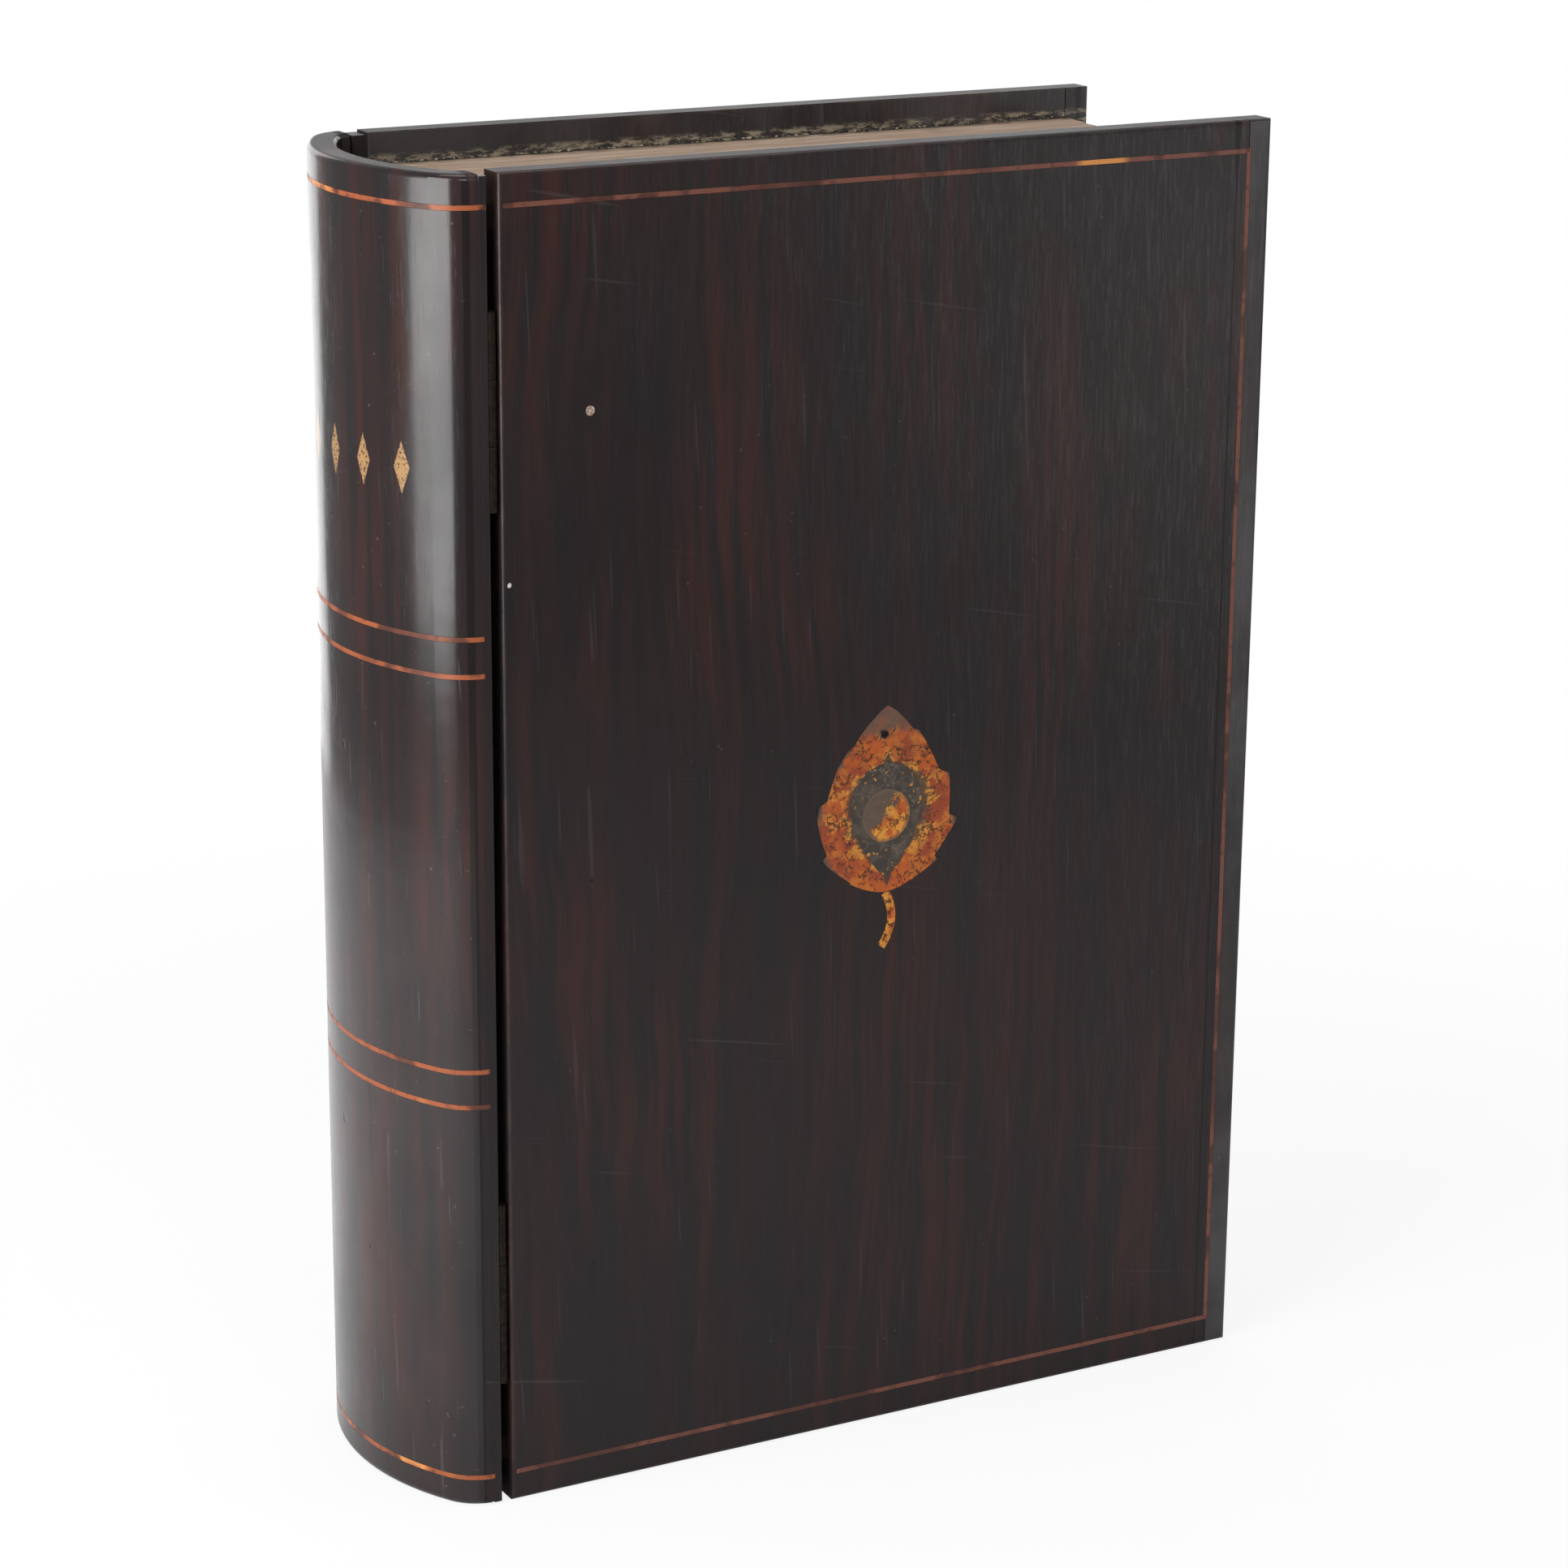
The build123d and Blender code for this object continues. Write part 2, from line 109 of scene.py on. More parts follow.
class Tree:
    """A node tree, with short calls that add a node and return its output."""

    def __init__(self, tree):
        self.tree = tree

    def add(self, kind, **settings):
        """New node with its settings."""
        node = self.tree.nodes.new(kind)
        for name, value in settings.items():
            setattr(node, name, value)
        return node

    def feed(self, socket, value):
        """Link an output to a socket, or set the socket's own value."""
        if isinstance(value, bpy.types.NodeSocket):
            self.tree.links.new(value, socket)
        elif value is not None:
            socket.default_value = value

    def math(self, operation, first, second=None, third=None):
        """One step of arithmetic."""
        node = self.add("ShaderNodeMath", operation=operation)
        for socket, value in zip(node.inputs, (first, second, third)):
            self.feed(socket, value)
        return node.outputs[0]

    def times(self, first, second):
        """Product of two values."""
        return self.math("MULTIPLY", first, second)

    def plus(self, base, value, share):
        """A base value and a share of another value."""
        return self.math("MULTIPLY_ADD", value, share, base)

    def apart(self, first, second):
        """How far apart two values are."""
        return self.math("ABSOLUTE", self.math("SUBTRACT", first, second))

    def vector(self, operation, first, second=None):
        """One step of vector arithmetic."""
        node = self.add("ShaderNodeVectorMath", operation=operation)
        self.feed(node.inputs[0], first)
        self.feed(node.inputs[1], second)
        value_operations = ("LENGTH", "DISTANCE", "DOT_PRODUCT")
        return node.outputs["Value" if operation in value_operations else "Vector"]

    def split(self, vector):
        """X, Y and Z of a vector."""
        node = self.add("ShaderNodeSeparateXYZ")
        self.feed(node.inputs[0], vector)
        return node.outputs[0], node.outputs[1], node.outputs[2]

    def join(self, x, y, z):
        """Vector of three values."""
        node = self.add("ShaderNodeCombineXYZ")
        for socket, value in zip(node.inputs, (x, y, z)):
            self.feed(socket, value)
        return node.outputs[0]

    def drawn_up(self, x, y, z, share):
        """Place whose patterns are drawn out up Z, as Z counts for a share only."""
        return self.join(x, y, self.times(z, share))

    def noise(self, vector, scale, detail=3.0, roughness=0.5, distortion=0.0):
        """Cloudy value from 0 to 1."""
        node = self.add("ShaderNodeTexNoise")
        self.feed(node.inputs["Vector"], vector)
        self.feed(node.inputs["Scale"], scale)
        node.inputs["Detail"].default_value = detail
        node.inputs["Roughness"].default_value = roughness
        node.inputs["Distortion"].default_value = distortion
        return node.outputs["Fac"]

    def cells(self, vector, scale):
        """Distance in a pattern of scattered cells."""
        node = self.add("ShaderNodeTexVoronoi")
        self.feed(node.inputs["Vector"], vector)
        self.feed(node.inputs["Scale"], scale)
        return node.outputs["Distance"]

    def step(self, value, start, end, low=0.0, high=1.0):
        """Smooth rise from low to high as value goes from start to end."""
        node = self.add("ShaderNodeMapRange", interpolation_type="SMOOTHSTEP")
        for socket, given in zip(node.inputs, (value, start, end, low, high)):
            self.feed(socket, given)
        return node.outputs[0]

    def mix(self, mask, first, second):
        """First colour where the mask is 0 and second where it is 1."""
        node = self.add("ShaderNodeMix", data_type="RGBA")
        self.feed(node.inputs[0], mask)
        self.feed(node.inputs[6], first)
        self.feed(node.inputs[7], second)
        return node.outputs[2]

    def group(self, group, **values):
        """Outputs of a shared node group, with spaces in socket names written as underscores."""
        node = self.add("ShaderNodeGroup", node_tree=group)
        for name, value in values.items():
            self.feed(node.inputs[name.replace("_", " ")], value)
        return node.outputs


def start_group(name, inputs, outputs):
    """Empty node group with named inputs (name, type, default) and named outputs."""
    old = bpy.data.node_groups.get(name)
    if old:
        return old, None, None, None
    group = bpy.data.node_groups.new(name, "ShaderNodeTree")
    for socket_name, kind, default in inputs:
        socket = group.interface.new_socket(socket_name, in_out="INPUT", socket_type=kind)
        if default is not None:
            socket.default_value = default
    for socket_name, kind in outputs:
        group.interface.new_socket(socket_name, in_out="OUTPUT", socket_type=kind)
    tree = Tree(group)
    given = tree.add("NodeGroupInput").outputs
    result = tree.add("NodeGroupOutput").inputs
    return group, tree, given, result


VALUE = "NodeSocketFloat"
VECTOR = "NodeSocketVector"


def wood_streaks():
    """Group: fine streaks gathered in broad soft patches, and pores, which run up the grain, along Z."""
    group, tree, given, result = start_group(
        "Wood Streaks",
        [("Position", VECTOR, None), ("Streak Scale", VALUE, 260.0), ("Patch Scale", VALUE, 30.0)],
        [("Streaks", VALUE), ("Pores", VALUE)],
    )
    if tree:
        x, y, z = tree.split(given["Position"])
        wander = tree.times(tree.noise(given["Position"], 9.0), 0.02)
        across = tree.math("ADD", x, wander)
        fine = tree.noise(tree.drawn_up(across, y, z, 0.045), given["Streak Scale"], 3.0, 0.6)
        broad = tree.noise(tree.drawn_up(across, y, z, 0.3), given["Patch Scale"], 3.0, 0.6)
        patches = tree.step(broad, 0.38, 0.66, 0.12, 1.0)
        tree.feed(result["Streaks"], tree.times(tree.step(fine, 0.36, 0.64), patches))
        thin = tree.drawn_up(x, y, z, 0.05)
        tree.feed(result["Pores"], tree.step(tree.noise(thin, 2600.0, 2.0, 0.7), 0.56, 0.74))
    return group


def edge_wear():
    """Group: mask along the edges of a board, where two of its distances to its faces are small.

    The middle one of the three distances is the distance from the nearest edge.
    """
    group, tree, given, result = start_group(
        "Edge Wear",
        [
            ("Position", VECTOR, None),
            ("Low Corner", VECTOR, None),
            ("High Corner", VECTOR, None),
            ("Width", VALUE, 1.2 * MM),
        ],
        [("Wear", VALUE)],
    )
    if tree:
        from_low = tree.vector("SUBTRACT", given["Position"], given["Low Corner"])
        from_high = tree.vector("SUBTRACT", given["High Corner"], given["Position"])
        nearest = tree.vector("ABSOLUTE", tree.vector("MINIMUM", from_low, from_high))
        a, b, c = tree.split(nearest)
        lower = tree.math("MINIMUM", a, b)
        upper = tree.math("MAXIMUM", a, b)
        middle = tree.math("MAXIMUM", lower, tree.math("MINIMUM", upper, c))
        patchy = tree.step(tree.noise(given["Position"], 90.0, 4.0, 0.65), 0.38, 0.66, 0.15, 1.3)
        reach = tree.times(given["Width"], patchy)
        ratio = tree.math("DIVIDE", middle, reach)
        tree.feed(result["Wear"], tree.step(ratio, 0.35, 1.0, 1.0, 0.0))
    return group


def handling_marks():
    """Group: fine scratches in two directions, cloudy smudges and scattered specks of dust."""
    group, tree, given, result = start_group(
        "Handling Marks",
        [("Position", VECTOR, None), ("Scratch Scale", VALUE, 700.0)],
        [("Scratches", VALUE), ("Smudges", VALUE), ("Specks", VALUE)],
    )
    if tree:
        x, y, z = tree.split(given["Position"])
        slanted = tree.plus(tree.times(z, 0.05), x, 0.22)
        upright = tree.drawn_up(tree.math("ADD", x, slanted), y, z, 0.035)
        level = tree.join(tree.times(x, 0.03), y, tree.math("ADD", z, slanted))
        first = tree.step(tree.noise(upright, given["Scratch Scale"], 1.0, 0.5, 0.3), 0.68, 0.76)
        second = tree.step(tree.noise(level, given["Scratch Scale"], 1.0, 0.5, 0.3), 0.72, 0.8)
        tree.feed(result["Scratches"], tree.math("MAXIMUM", first, second))
        tree.feed(result["Smudges"], tree.step(tree.noise(given["Position"], 24.0, 4.0, 0.6), 0.35, 0.7))
        dots = tree.cells(given["Position"], 190.0)
        chance = tree.step(tree.noise(given["Position"], 45.0, 1.0), 0.5, 0.62)
        tree.feed(result["Specks"], tree.times(tree.step(dots, 0.035, 0.075, 1.0, 0.0), chance))
    return group


def round_mark():
    """Group: small ragged mark, such as a pit or a chip."""
    group, tree, given, result = start_group(
        "Round Mark",
        [("Position", VECTOR, None), ("Centre", VECTOR, None), ("Radius", VALUE, 1.0 * MM)],
        [("Mark", VALUE)],
    )
    if tree:
        away = tree.vector("DISTANCE", given["Position"], given["Centre"])
        ragged = tree.step(tree.noise(given["Position"], 900.0, 2.0), 0.3, 0.7, 0.75, 1.25)
        ratio = tree.math("DIVIDE", away, given["Radius"])
        tree.feed(result["Mark"], tree.step(tree.times(ratio, ragged), 0.6, 1.1, 1.0, 0.0))
    return group


def start_material(name):
    """New material with its shader, and the Object coordinates that its patterns follow."""
    material = bpy.data.materials.new(name)
    material.use_nodes = True
    shader = material.node_tree.nodes["Principled BSDF"]
    tree = Tree(material.node_tree)
    position = tree.add("ShaderNodeTexCoord").outputs["Object"]
    return material, tree, shader, position


def finish_material(tree, shader, colour, roughness, height, depth, shine=0.5):
    """Feed a shader's colour, roughness and bump, and set how much a bare surface mirrors."""
    tree.feed(shader.inputs["Base Color"], colour)
    tree.feed(shader.inputs["Roughness"], roughness)
    bump = tree.add("ShaderNodeBump")
    bump.inputs["Strength"].default_value = 1.0
    bump.inputs["Distance"].default_value = depth
    tree.feed(bump.inputs["Height"], height)
    tree.feed(shader.inputs["Normal"], bump.outputs["Normal"])
    shader.inputs["Specular IOR Level"].default_value = shine


def coat(tree, shader, weight, roughness):
    """French polish: a clear layer over the wood."""
    tree.feed(shader.inputs["Coat Weight"], weight)
    shader.inputs["Coat Roughness"].default_value = roughness


def wear(nodes, material):
    """Give CAD nodes or new pieces a material in every slot."""
    for piece in nodes:
        slots = piece.data.materials
        if len(slots) == 0:
            slots.append(material)
        for index in range(len(slots)):
            slots[index] = material


def cad(*names):
    """CAD nodes by name."""
    return [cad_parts[name] for name in names]


def cad_starting(prefix):
    """CAD nodes whose names start alike."""
    return [node for name, node in sorted(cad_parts.items()) if name.startswith(prefix)]


def new_object(name, points, faces):
    """Object at the origin with its mesh."""
    mesh = bpy.data.meshes.new(name)
    mesh.from_pydata(points, [], faces)
    mesh.update()
    piece = bpy.data.objects.new(name, mesh)
    bpy.context.scene.collection.objects.link(piece)
    return piece


def new_piece(name, points, faces, material):
    """Piece that rides on the case and its material."""
    piece = new_object(name, points, faces)
    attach(piece, "case")
    wear([piece], material)
    return piece


def surface(name, x, y, z, material):
    """Smooth piece from three grids of coordinates, whose rows and columns are its two parameters."""
    rows, columns = x.shape
    points = np.stack((x, y, z), axis=-1).reshape(-1, 3)
    row, column = np.meshgrid(np.arange(rows - 1), np.arange(columns - 1), indexing="ij")
    corner = (row * columns + column).ravel()
    quads = np.stack((corner, corner + 1, corner + columns + 1, corner + columns), axis=-1)
    piece = new_piece(name, points, quads, material)
    piece.data.polygons.foreach_set("use_smooth", np.ones(len(quads), dtype=bool))
    return piece


def carried(name, slot, x, y, heights, material):
    """Closed outline in X and Y, given anticlockwise, carried up Z through the heights, with flat ends."""
    columns, rows = len(x), len(heights)
    points = np.stack((np.tile(x, rows), np.tile(y, rows), np.repeat(heights, columns)), axis=-1)
    row, column = np.meshgrid(np.arange(rows - 1), np.arange(columns), indexing="ij")
    here = (row * columns + column).ravel()
    after = (row * columns + (column + 1) % columns).ravel()
    quads = np.stack((here, after, after + columns, here + columns), axis=-1).tolist()
    bottom = list(range(columns))[::-1]
    top = list(range((rows - 1) * columns, rows * columns))
    return new_piece(name, points, quads + [bottom, top], material)


# Settings: sizes and colours that a user would change


def length(name, description, default):
    """Length in metres."""
    return bpy.props.FloatProperty(
        name=name, description=description, default=default, unit="LENGTH", precision=5
    )


def angle(name, description, default):
    """Angle in radians."""
    return bpy.props.FloatProperty(name=name, description=description, default=default, subtype="ANGLE")


def number(name, description, default):
    """Plain number."""
    return bpy.props.FloatProperty(name=name, description=description, default=default)


def tint(name, description, default):
    """Linear colour."""
    colour = (*default, 1.0)
    return bpy.props.FloatVectorProperty(
        name=name, description=description, default=colour, size=4, subtype="COLOR", min=0.0, max=1.0
    )


class CoverSettings(bpy.types.PropertyGroup):
    """Finish of the boards and the spine."""

    black: tint("Ebonised wood", "Colour of the dark ground", (0.0105, 0.0082, 0.0086))
    red: tint("Grain", "Colour of the warm streaks", (0.030, 0.0105, 0.0088))
    # The pore colour also paints the shade in the open crack at the strip's head
    pore: tint("Pores", "Colour of the pores and the joints", (0.0050, 0.0030, 0.0030))
    bare: tint("Worn edge", "Colour where the stain has rubbed off", (0.075, 0.050, 0.038))
    # The dust colour also paints the sheen on the pores and on the edge strip's front
    dust: tint("Dust", "Colour of dust and fine scratches", (0.150, 0.147, 0.148))
    wear_width: length("Wear width", "Reach of the wear from an edge", 0.8 * MM)
    crack_length: length("Crack length", "How far the strip's joint gapes down from the head", 14.0 * MM)
    crack_mouth: length("Crack mouth", "Half the joint's gap at the head", 0.75 * MM)
    joint_line: length("Joint line", "Half the width of the closed joint", 0.18 * MM)
    smear_height: length("Smear height", "Reach of the old glue above the page block", 2.4 * MM)
    shoulder: length("Shoulder", "Radius of the spine's shoulders", 11.0 * MM)
    joint_inset: length("Joint inset", "Distance of the spine's joint from its edge", 3.5 * MM)
    joint_start: length("Joint start", "Distance of the spine's joint from the box's middle", 22.0 * MM)
    strip_setback: length("Strip setback", "Depth of the groove strip below the front", 0.08 * MM)
    strip_reach: length("Strip reach", "How far the groove strip runs into the groove", 0.7 * MM)
    strip_root: length("Strip root", "How far the groove strip runs over the spine's edge", 1.1 * MM)
    strip_depth: length("Strip depth", "Depth of the groove strip", 1.6 * MM)
    strip_radius: length("Strip radius", "Radius of the front strip's edges", 0.3 * MM)
    filling_lap: length("Filling lap", "How far the rear filling laps over both sides", 0.4 * MM)
    filling_radius: length("Filling radius", "Radius of the rear filling's edges", 0.5 * MM)
    strip_end: length("Strip end", "Distance of the strips' ends from head and tail", 0.5 * MM)
    rear_setback: length("Rear setback", "Depth of the rear groove", 1.0 * MM)


class OrnamentSettings(bpy.types.PropertyGroup):
    """Row of gilt lozenges on the spine."""

    gilt: tint("Gilding", "Colour of the worn gilding", (0.24, 0.14, 0.062))
    count: bpy.props.IntProperty(name="Lozenges", description="Lozenges in the row", default=5, min=1)
    height: length("Height", "Height of a lozenge", 11.0 * MM)
    width: length("Width", "Width of a lozenge", 4.4 * MM)
    centre: length("Centre height", "Height of the row's middle", 221.4 * MM)
    spacing: length("Spacing", "Distance between lozenges round the spine", 11.5 * MM)


class PageSettings(bpy.types.PropertyGroup):
    """Page edges on the block."""

    tan: tint("Page edge", "Colour of the paper-like edge", (0.235, 0.160, 0.112))
    pale: tint("Clean sheet", "Colour of the lighter sheets", (0.33, 0.25, 0.19))
    grime: tint("Grime", "Colour of the dirt between the sheets", (0.060, 0.046, 0.030))
    olive: tint("Old glue", "Colour of the smeared glue", (0.26, 0.215, 0.15))
    crust: tint("Crust", "Colour of the dirt bead between its crumbs", (0.010, 0.008, 0.007))
    pitch: length("Sheet pitch", "Distance from ridge to ridge", 0.56 * MM)
    relief: length("Relief", "Height of a ridge", 0.12 * MM)
    hollow: length("Hollow", "Depth of the hollow fore edge", 2.3 * MM)
    trim: length("Trim", "How far the sheets end short of the wall's face", 2.1 * MM)
    shoulder: length("Shoulder", "Radius of the sheets' corners at the spine", 5.0 * MM)
    bead: length("Bead", "Size of the dirt bead along the rear cover", 0.5 * MM)
    bead_start: length("Bead start", "Distance of the bead's end from the groove", 4.0 * MM)
    bead_end: length("Bead end", "Distance of the bead's end from the fore edge", 2.0 * MM)


class StringingSettings(bpy.types.PropertyGroup):
    """Inlaid lines."""

    copper: tint("Copper", "Colour of the stringing round the spine", (0.21, 0.058, 0.023))
    dull: tint("Dull copper", "Colour of the stringing on the lid", (0.125, 0.047, 0.032))
    bright: tint("Bright", "Colour of its lighter lengths", (0.48, 0.20, 0.055))
    dark: tint("Dark", "Colour where the polish has darkened it", (0.045, 0.018, 0.014))
    ragged: length("Ragged edge", "Reach of the polish over a string's edges", 0.22 * MM)
    clean_start: length("Clean start", "X where the head string's clean length starts", 52.5 * MM)
    clean_end: length("Clean end", "X where the head string's clean length ends", 64.0 * MM)
    clean_fade: length("Clean fade", "Half the fade at the clean length's ends", 1.5 * MM)


class LeafSettings(bpy.types.PropertyGroup):
    """Leaf inlay."""

    orange: tint("Orange", "Main colour of the blade", (0.31, 0.068, 0.015))
    red: tint("Red", "Colour of its redder patches", (0.205, 0.043, 0.018))
    amber: tint("Amber", "Colour of its lighter patches and the boss", (0.47, 0.20, 0.032))
    grey: tint("Grey", "Colour of the tip, the rim and part of the boss", (0.068, 0.054, 0.042))
    field: tint("Field", "Colour of the dark field", (0.038, 0.031, 0.026))
    scorch: tint("Scorch", "Colour of the dark mottling", (0.022, 0.011, 0.008))
    vein: tint("Veins", "Colour of the thin lines in the dark field", (0.16, 0.135, 0.105))
    brown: tint("Brown", "Colour of the boss's rim", (0.10, 0.072, 0.048))
    plug: tint("Plug", "Colour of the small plug", (0.16, 0.11, 0.075))
    plug_pale: tint("Pale plug", "Colour of the plug's paler grain", (0.40, 0.31, 0.24))
    half_width: length("Half width", "Half of the blade's width without its teeth", 15.4 * MM)
    field_half_width: length("Field half width", "Half of the dark field's width", 8.6 * MM)
    hole_below_tip: length("Hole below tip", "Distance of the worm hole below the tip", 6.3 * MM)
    hole_aside: length("Hole aside", "Distance of the worm hole from the middle", 0.9 * MM)
    hole_radius: length("Hole radius", "Radius of the worm hole", 1.15 * MM)
    boss_radius: length("Boss radius", "Radius where the boss's darker rim starts", 5.0 * MM)


class InsideSettings(bpy.types.PropertyGroup):
    """Dividers, linings and hinges."""

    wood: tint("Divider", "Colour of the waxed wood", (0.085, 0.036, 0.02))
    streak: tint("Divider streaks", "Colour of its lighter streaks", (0.17, 0.08, 0.045))
    pore: tint("Divider pores", "Colour of its pores", (0.035, 0.016, 0.01))
    paper: tint("Lining", "Colour of the lining paper", (0.105, 0.022, 0.018))
    marbling: tint("Marbling", "Colour of the lining's lighter clouds", (0.16, 0.045, 0.032))
    rubbed: tint("Rubbed lining", "Colour where the lining is rubbed", (0.24, 0.14, 0.10))
    plate: tint("Hinge plate", "Colour of the hinge plates", (0.022, 0.016, 0.010))
    screw: tint("Screw", "Colour of the screws", (0.12, 0.08, 0.04))
    pin: tint("Hinge pin", "Colour of the hinge pins", (0.11, 0.10, 0.09))
    tarnish: tint("Tarnish", "Colour of the tarnish on the metal", (0.012, 0.009, 0.007))


class StageSettings(bpy.types.PropertyGroup):
    """Camera, light and floor."""

    place: bpy.props.FloatVectorProperty(
        name="Camera place",
        description="Place of the lens",
        default=(-0.42763, -0.78240, 0.40020),
        subtype="XYZ",
        unit="LENGTH",
    )
    heading: angle("Heading", "Turn of the view from +Y towards +X", 0.5029)
    tilt: angle("Tilt", "Tilt of the view above level", -0.2864)
    roll: angle("Roll", "Roll of the camera", 0.0077)
    focal_pixels: number("Focal length", "Focal length in pixels of the photograph", 5275.5)
    photo_pixels: number("Frame width", "Width of the photograph in pixels", 1932.0)
    surroundings: number("Surroundings", "Strength of the light from all round", 0.26)
    floor: tint("Floor", "Colour of the floor", (0.66, 0.66, 0.67))
    floor_radius: length("Floor radius", "Radius of the round floor", 0.55)


# Covers and spine


def cover_colours(tree, position, covers, red_share, dust_share):
    """Ground colour with grain, scratches and dust, and the masks that its roughness follows."""
    grain = tree.group(wood_streaks(), Position=position)
    marks = tree.group(handling_marks(), Position=position)
    warm = tree.times(grain["Streaks"], red_share)
    colour = tree.mix(warm, covers.black, covers.red)
    colour = tree.mix(tree.times(grain["Pores"], 0.4), colour, covers.pore)
    colour = tree.mix(tree.times(marks["Scratches"], dust_share), colour, covers.dust)
    colour = tree.mix(tree.times(marks["Specks"], 2 * dust_share), colour, covers.dust)
    return colour, grain, marks


def marked(tree, position, colour, height, marks):
    """Colour and height with small pits and chips, given as centre, radius, colour and depth."""
    for centre, radius, mark_colour, depth in marks:
        mark = tree.group(round_mark(), Position=position, Centre=centre, Radius=radius)["Mark"]
        colour = tree.mix(mark, colour, mark_colour)
        height = tree.math("SUBTRACT", height, tree.times(mark, depth))
    return colour, height


def worn_edges(tree, position, low, high, width):
    """Mask along the edges of the box between two corners."""
    wear_mask = tree.group(edge_wear(), Position=position, Low_Corner=low, High_Corner=high, Width=width)
    return wear_mask["Wear"]


def painted_pore_sheen(tree, position, covers, colour):
    """Colour with a painted sheen: pale pores, more of them towards the head and the fore edge."""
    x, y, z = tree.split(position)
    hairs = tree.noise(tree.drawn_up(x, y, z, 0.07), 1900.0, 3.0, 0.75)
    corner = tree.plus(x, z, 0.6)
    corner = tree.plus(corner, tree.noise(position, 25.0, 2.0), 0.08)
    painted_sheen = tree.times(tree.step(hairs, 0.44, 0.80, 0.15, 1.0), tree.step(corner, 0.10, 0.29, 0.02, 0.19))
    return tree.mix(painted_sheen, colour, covers.dust)


def open_joint(tree, position, covers, colour):
    """Colour with the dark joint beside a board's edge strip, and painted shade where it gapes towards the
    head.
    """
    x, _, z = tree.split(position)
    head = lid_high.z
    gap = tree.step(z, head - covers.crack_length, head, covers.joint_line, covers.crack_mouth)
    past_gap = tree.math("SUBTRACT", tree.apart(x, strip_low.x), gap)
    # Dark joint line, widening into painted shade in the open crack towards the head
    joint_and_crack_shade = tree.step(past_gap, -0.1 * MM, 0.12 * MM, 0.9, 0.0)
    return tree.mix(joint_and_crack_shade, colour, covers.pore)


def glue_smear(tree, position, covers, inner_face, colour, glue):
    """Colour with streaks of old glue on the inner face, in a band just above the page block."""
    x, y, z = tree.split(position)
    streaks = tree.noise(tree.join(tree.times(x, 0.35), y, z), 800.0, 5.0, 0.75)
    block = head_high.z
    rising = tree.step(z, block - 2.0 * MM, block - 1.0 * MM)
    fading = tree.step(z, block + 1.0 * MM, block + covers.smear_height, 1.0, 0.0)
    patchy = tree.times(tree.step(streaks, 0.44, 0.62, 0.0, 0.85), rising)
    return tree.mix(tree.times(tree.times(fading, patchy), inner_face), colour, glue)


def board_material(name, covers, low, high, marks=(), red=0.8, dust=0.07, dust_film_and_sheen=0.0, glue=None):
    """Satin ebonised board, rubbed brown along its edges, with a painted sheen on its pores and perhaps a
    film and old glue.

    Low and high are the corners of the whole cover, so wear follows its outer edges. The film and the glue
    lie on the face towards -Y, and the face at the head is matt. The film is dust on the rear cover and a
    painted sheen on the edge strip.
    """
    material, tree, shader, position = start_material(name)
    colour, grain, handling = cover_colours(tree, position, covers, red, dust)
    rubbed = worn_edges(tree, position, low, high, covers.wear_width)
    colour = tree.mix(tree.times(rubbed, 0.18), colour, covers.bare)
    height = tree.times(grain["Pores"], -0.6)
    colour, height = marked(tree, position, colour, height, marks)
    # Painted sheen: pale pores towards the head and the fore edge
    colour = painted_pore_sheen(tree, position, covers, colour)
    colour = open_joint(tree, position, covers, colour)
    _, y, z = tree.split(position)
    inner_face = tree.math("LESS_THAN", y, low.y + 0.2 * MM)
    # Pale film on the face towards -Y: dust on the rear cover, painted sheen on the edge strip
    dust_film_and_sheen_mask = tree.times(tree.step(handling["Smudges"], 0.0, 1.0, 0.3 * dust_film_and_sheen, dust_film_and_sheen), inner_face)
    colour = tree.mix(dust_film_and_sheen_mask, colour, covers.dust)
    if glue:
        colour = glue_smear(tree, position, covers, inner_face, colour, glue)
    matt = tree.step(z, high.z - 0.3 * MM, high.z - 0.1 * MM)
    roughness = tree.step(handling["Smudges"], 0.0, 1.0, 0.29, 0.34)
    roughness = tree.plus(roughness, grain["Pores"], 0.10)
    roughness = tree.plus(roughness, rubbed, -0.06)
    roughness = tree.plus(roughness, matt, 0.2)
    finish_material(tree, shader, colour, roughness, height, 0.012 * MM, shine=0.17)
    coat(tree, shader, tree.step(matt, 0.0, 1.0, 0.08, 0.04), 0.16)
    return material


def crown_radius(bulge, half_depth, shoulder):
    """Radius of the middle arc of a half oval, tangent to two shoulders of a given radius."""
    return (bulge**2 + half_depth**2 - 2 * half_depth * shoulder) / (2 * (bulge - shoulder))


def lozenge_mask(tree, position, ornament, shoulder):
    """Mask of a row of lozenges, each where |across| / width + |up| / height is under a half."""
    crown = crown_radius(spine_high.x - spine_low.x, cad_high.y, shoulder)
    x, y, z = tree.split(position)
    turn = tree.math("ARCTAN2", y, tree.math("SUBTRACT", spine_low.x + crown, x))
    around = tree.math("DIVIDE", tree.times(turn, crown), ornament.spacing)
    number = tree.math("ROUND", around)
    across = tree.apart(around, number)
    across = tree.times(across, ornament.spacing / ornament.width)
    up = tree.apart(z, ornament.centre)
    reach = tree.math("ADD", across, tree.math("DIVIDE", up, ornament.height))
    shape = tree.step(reach, 0.46, 0.5, 1.0, 0.0)
    in_row = tree.math("LESS_THAN", tree.math("ABSOLUTE", number), ornament.count / 2)
    rubbed = tree.step(tree.noise(position, 1400.0, 3.0, 0.7), 0.36, 0.5)
    return tree.times(tree.times(shape, in_row), rubbed)


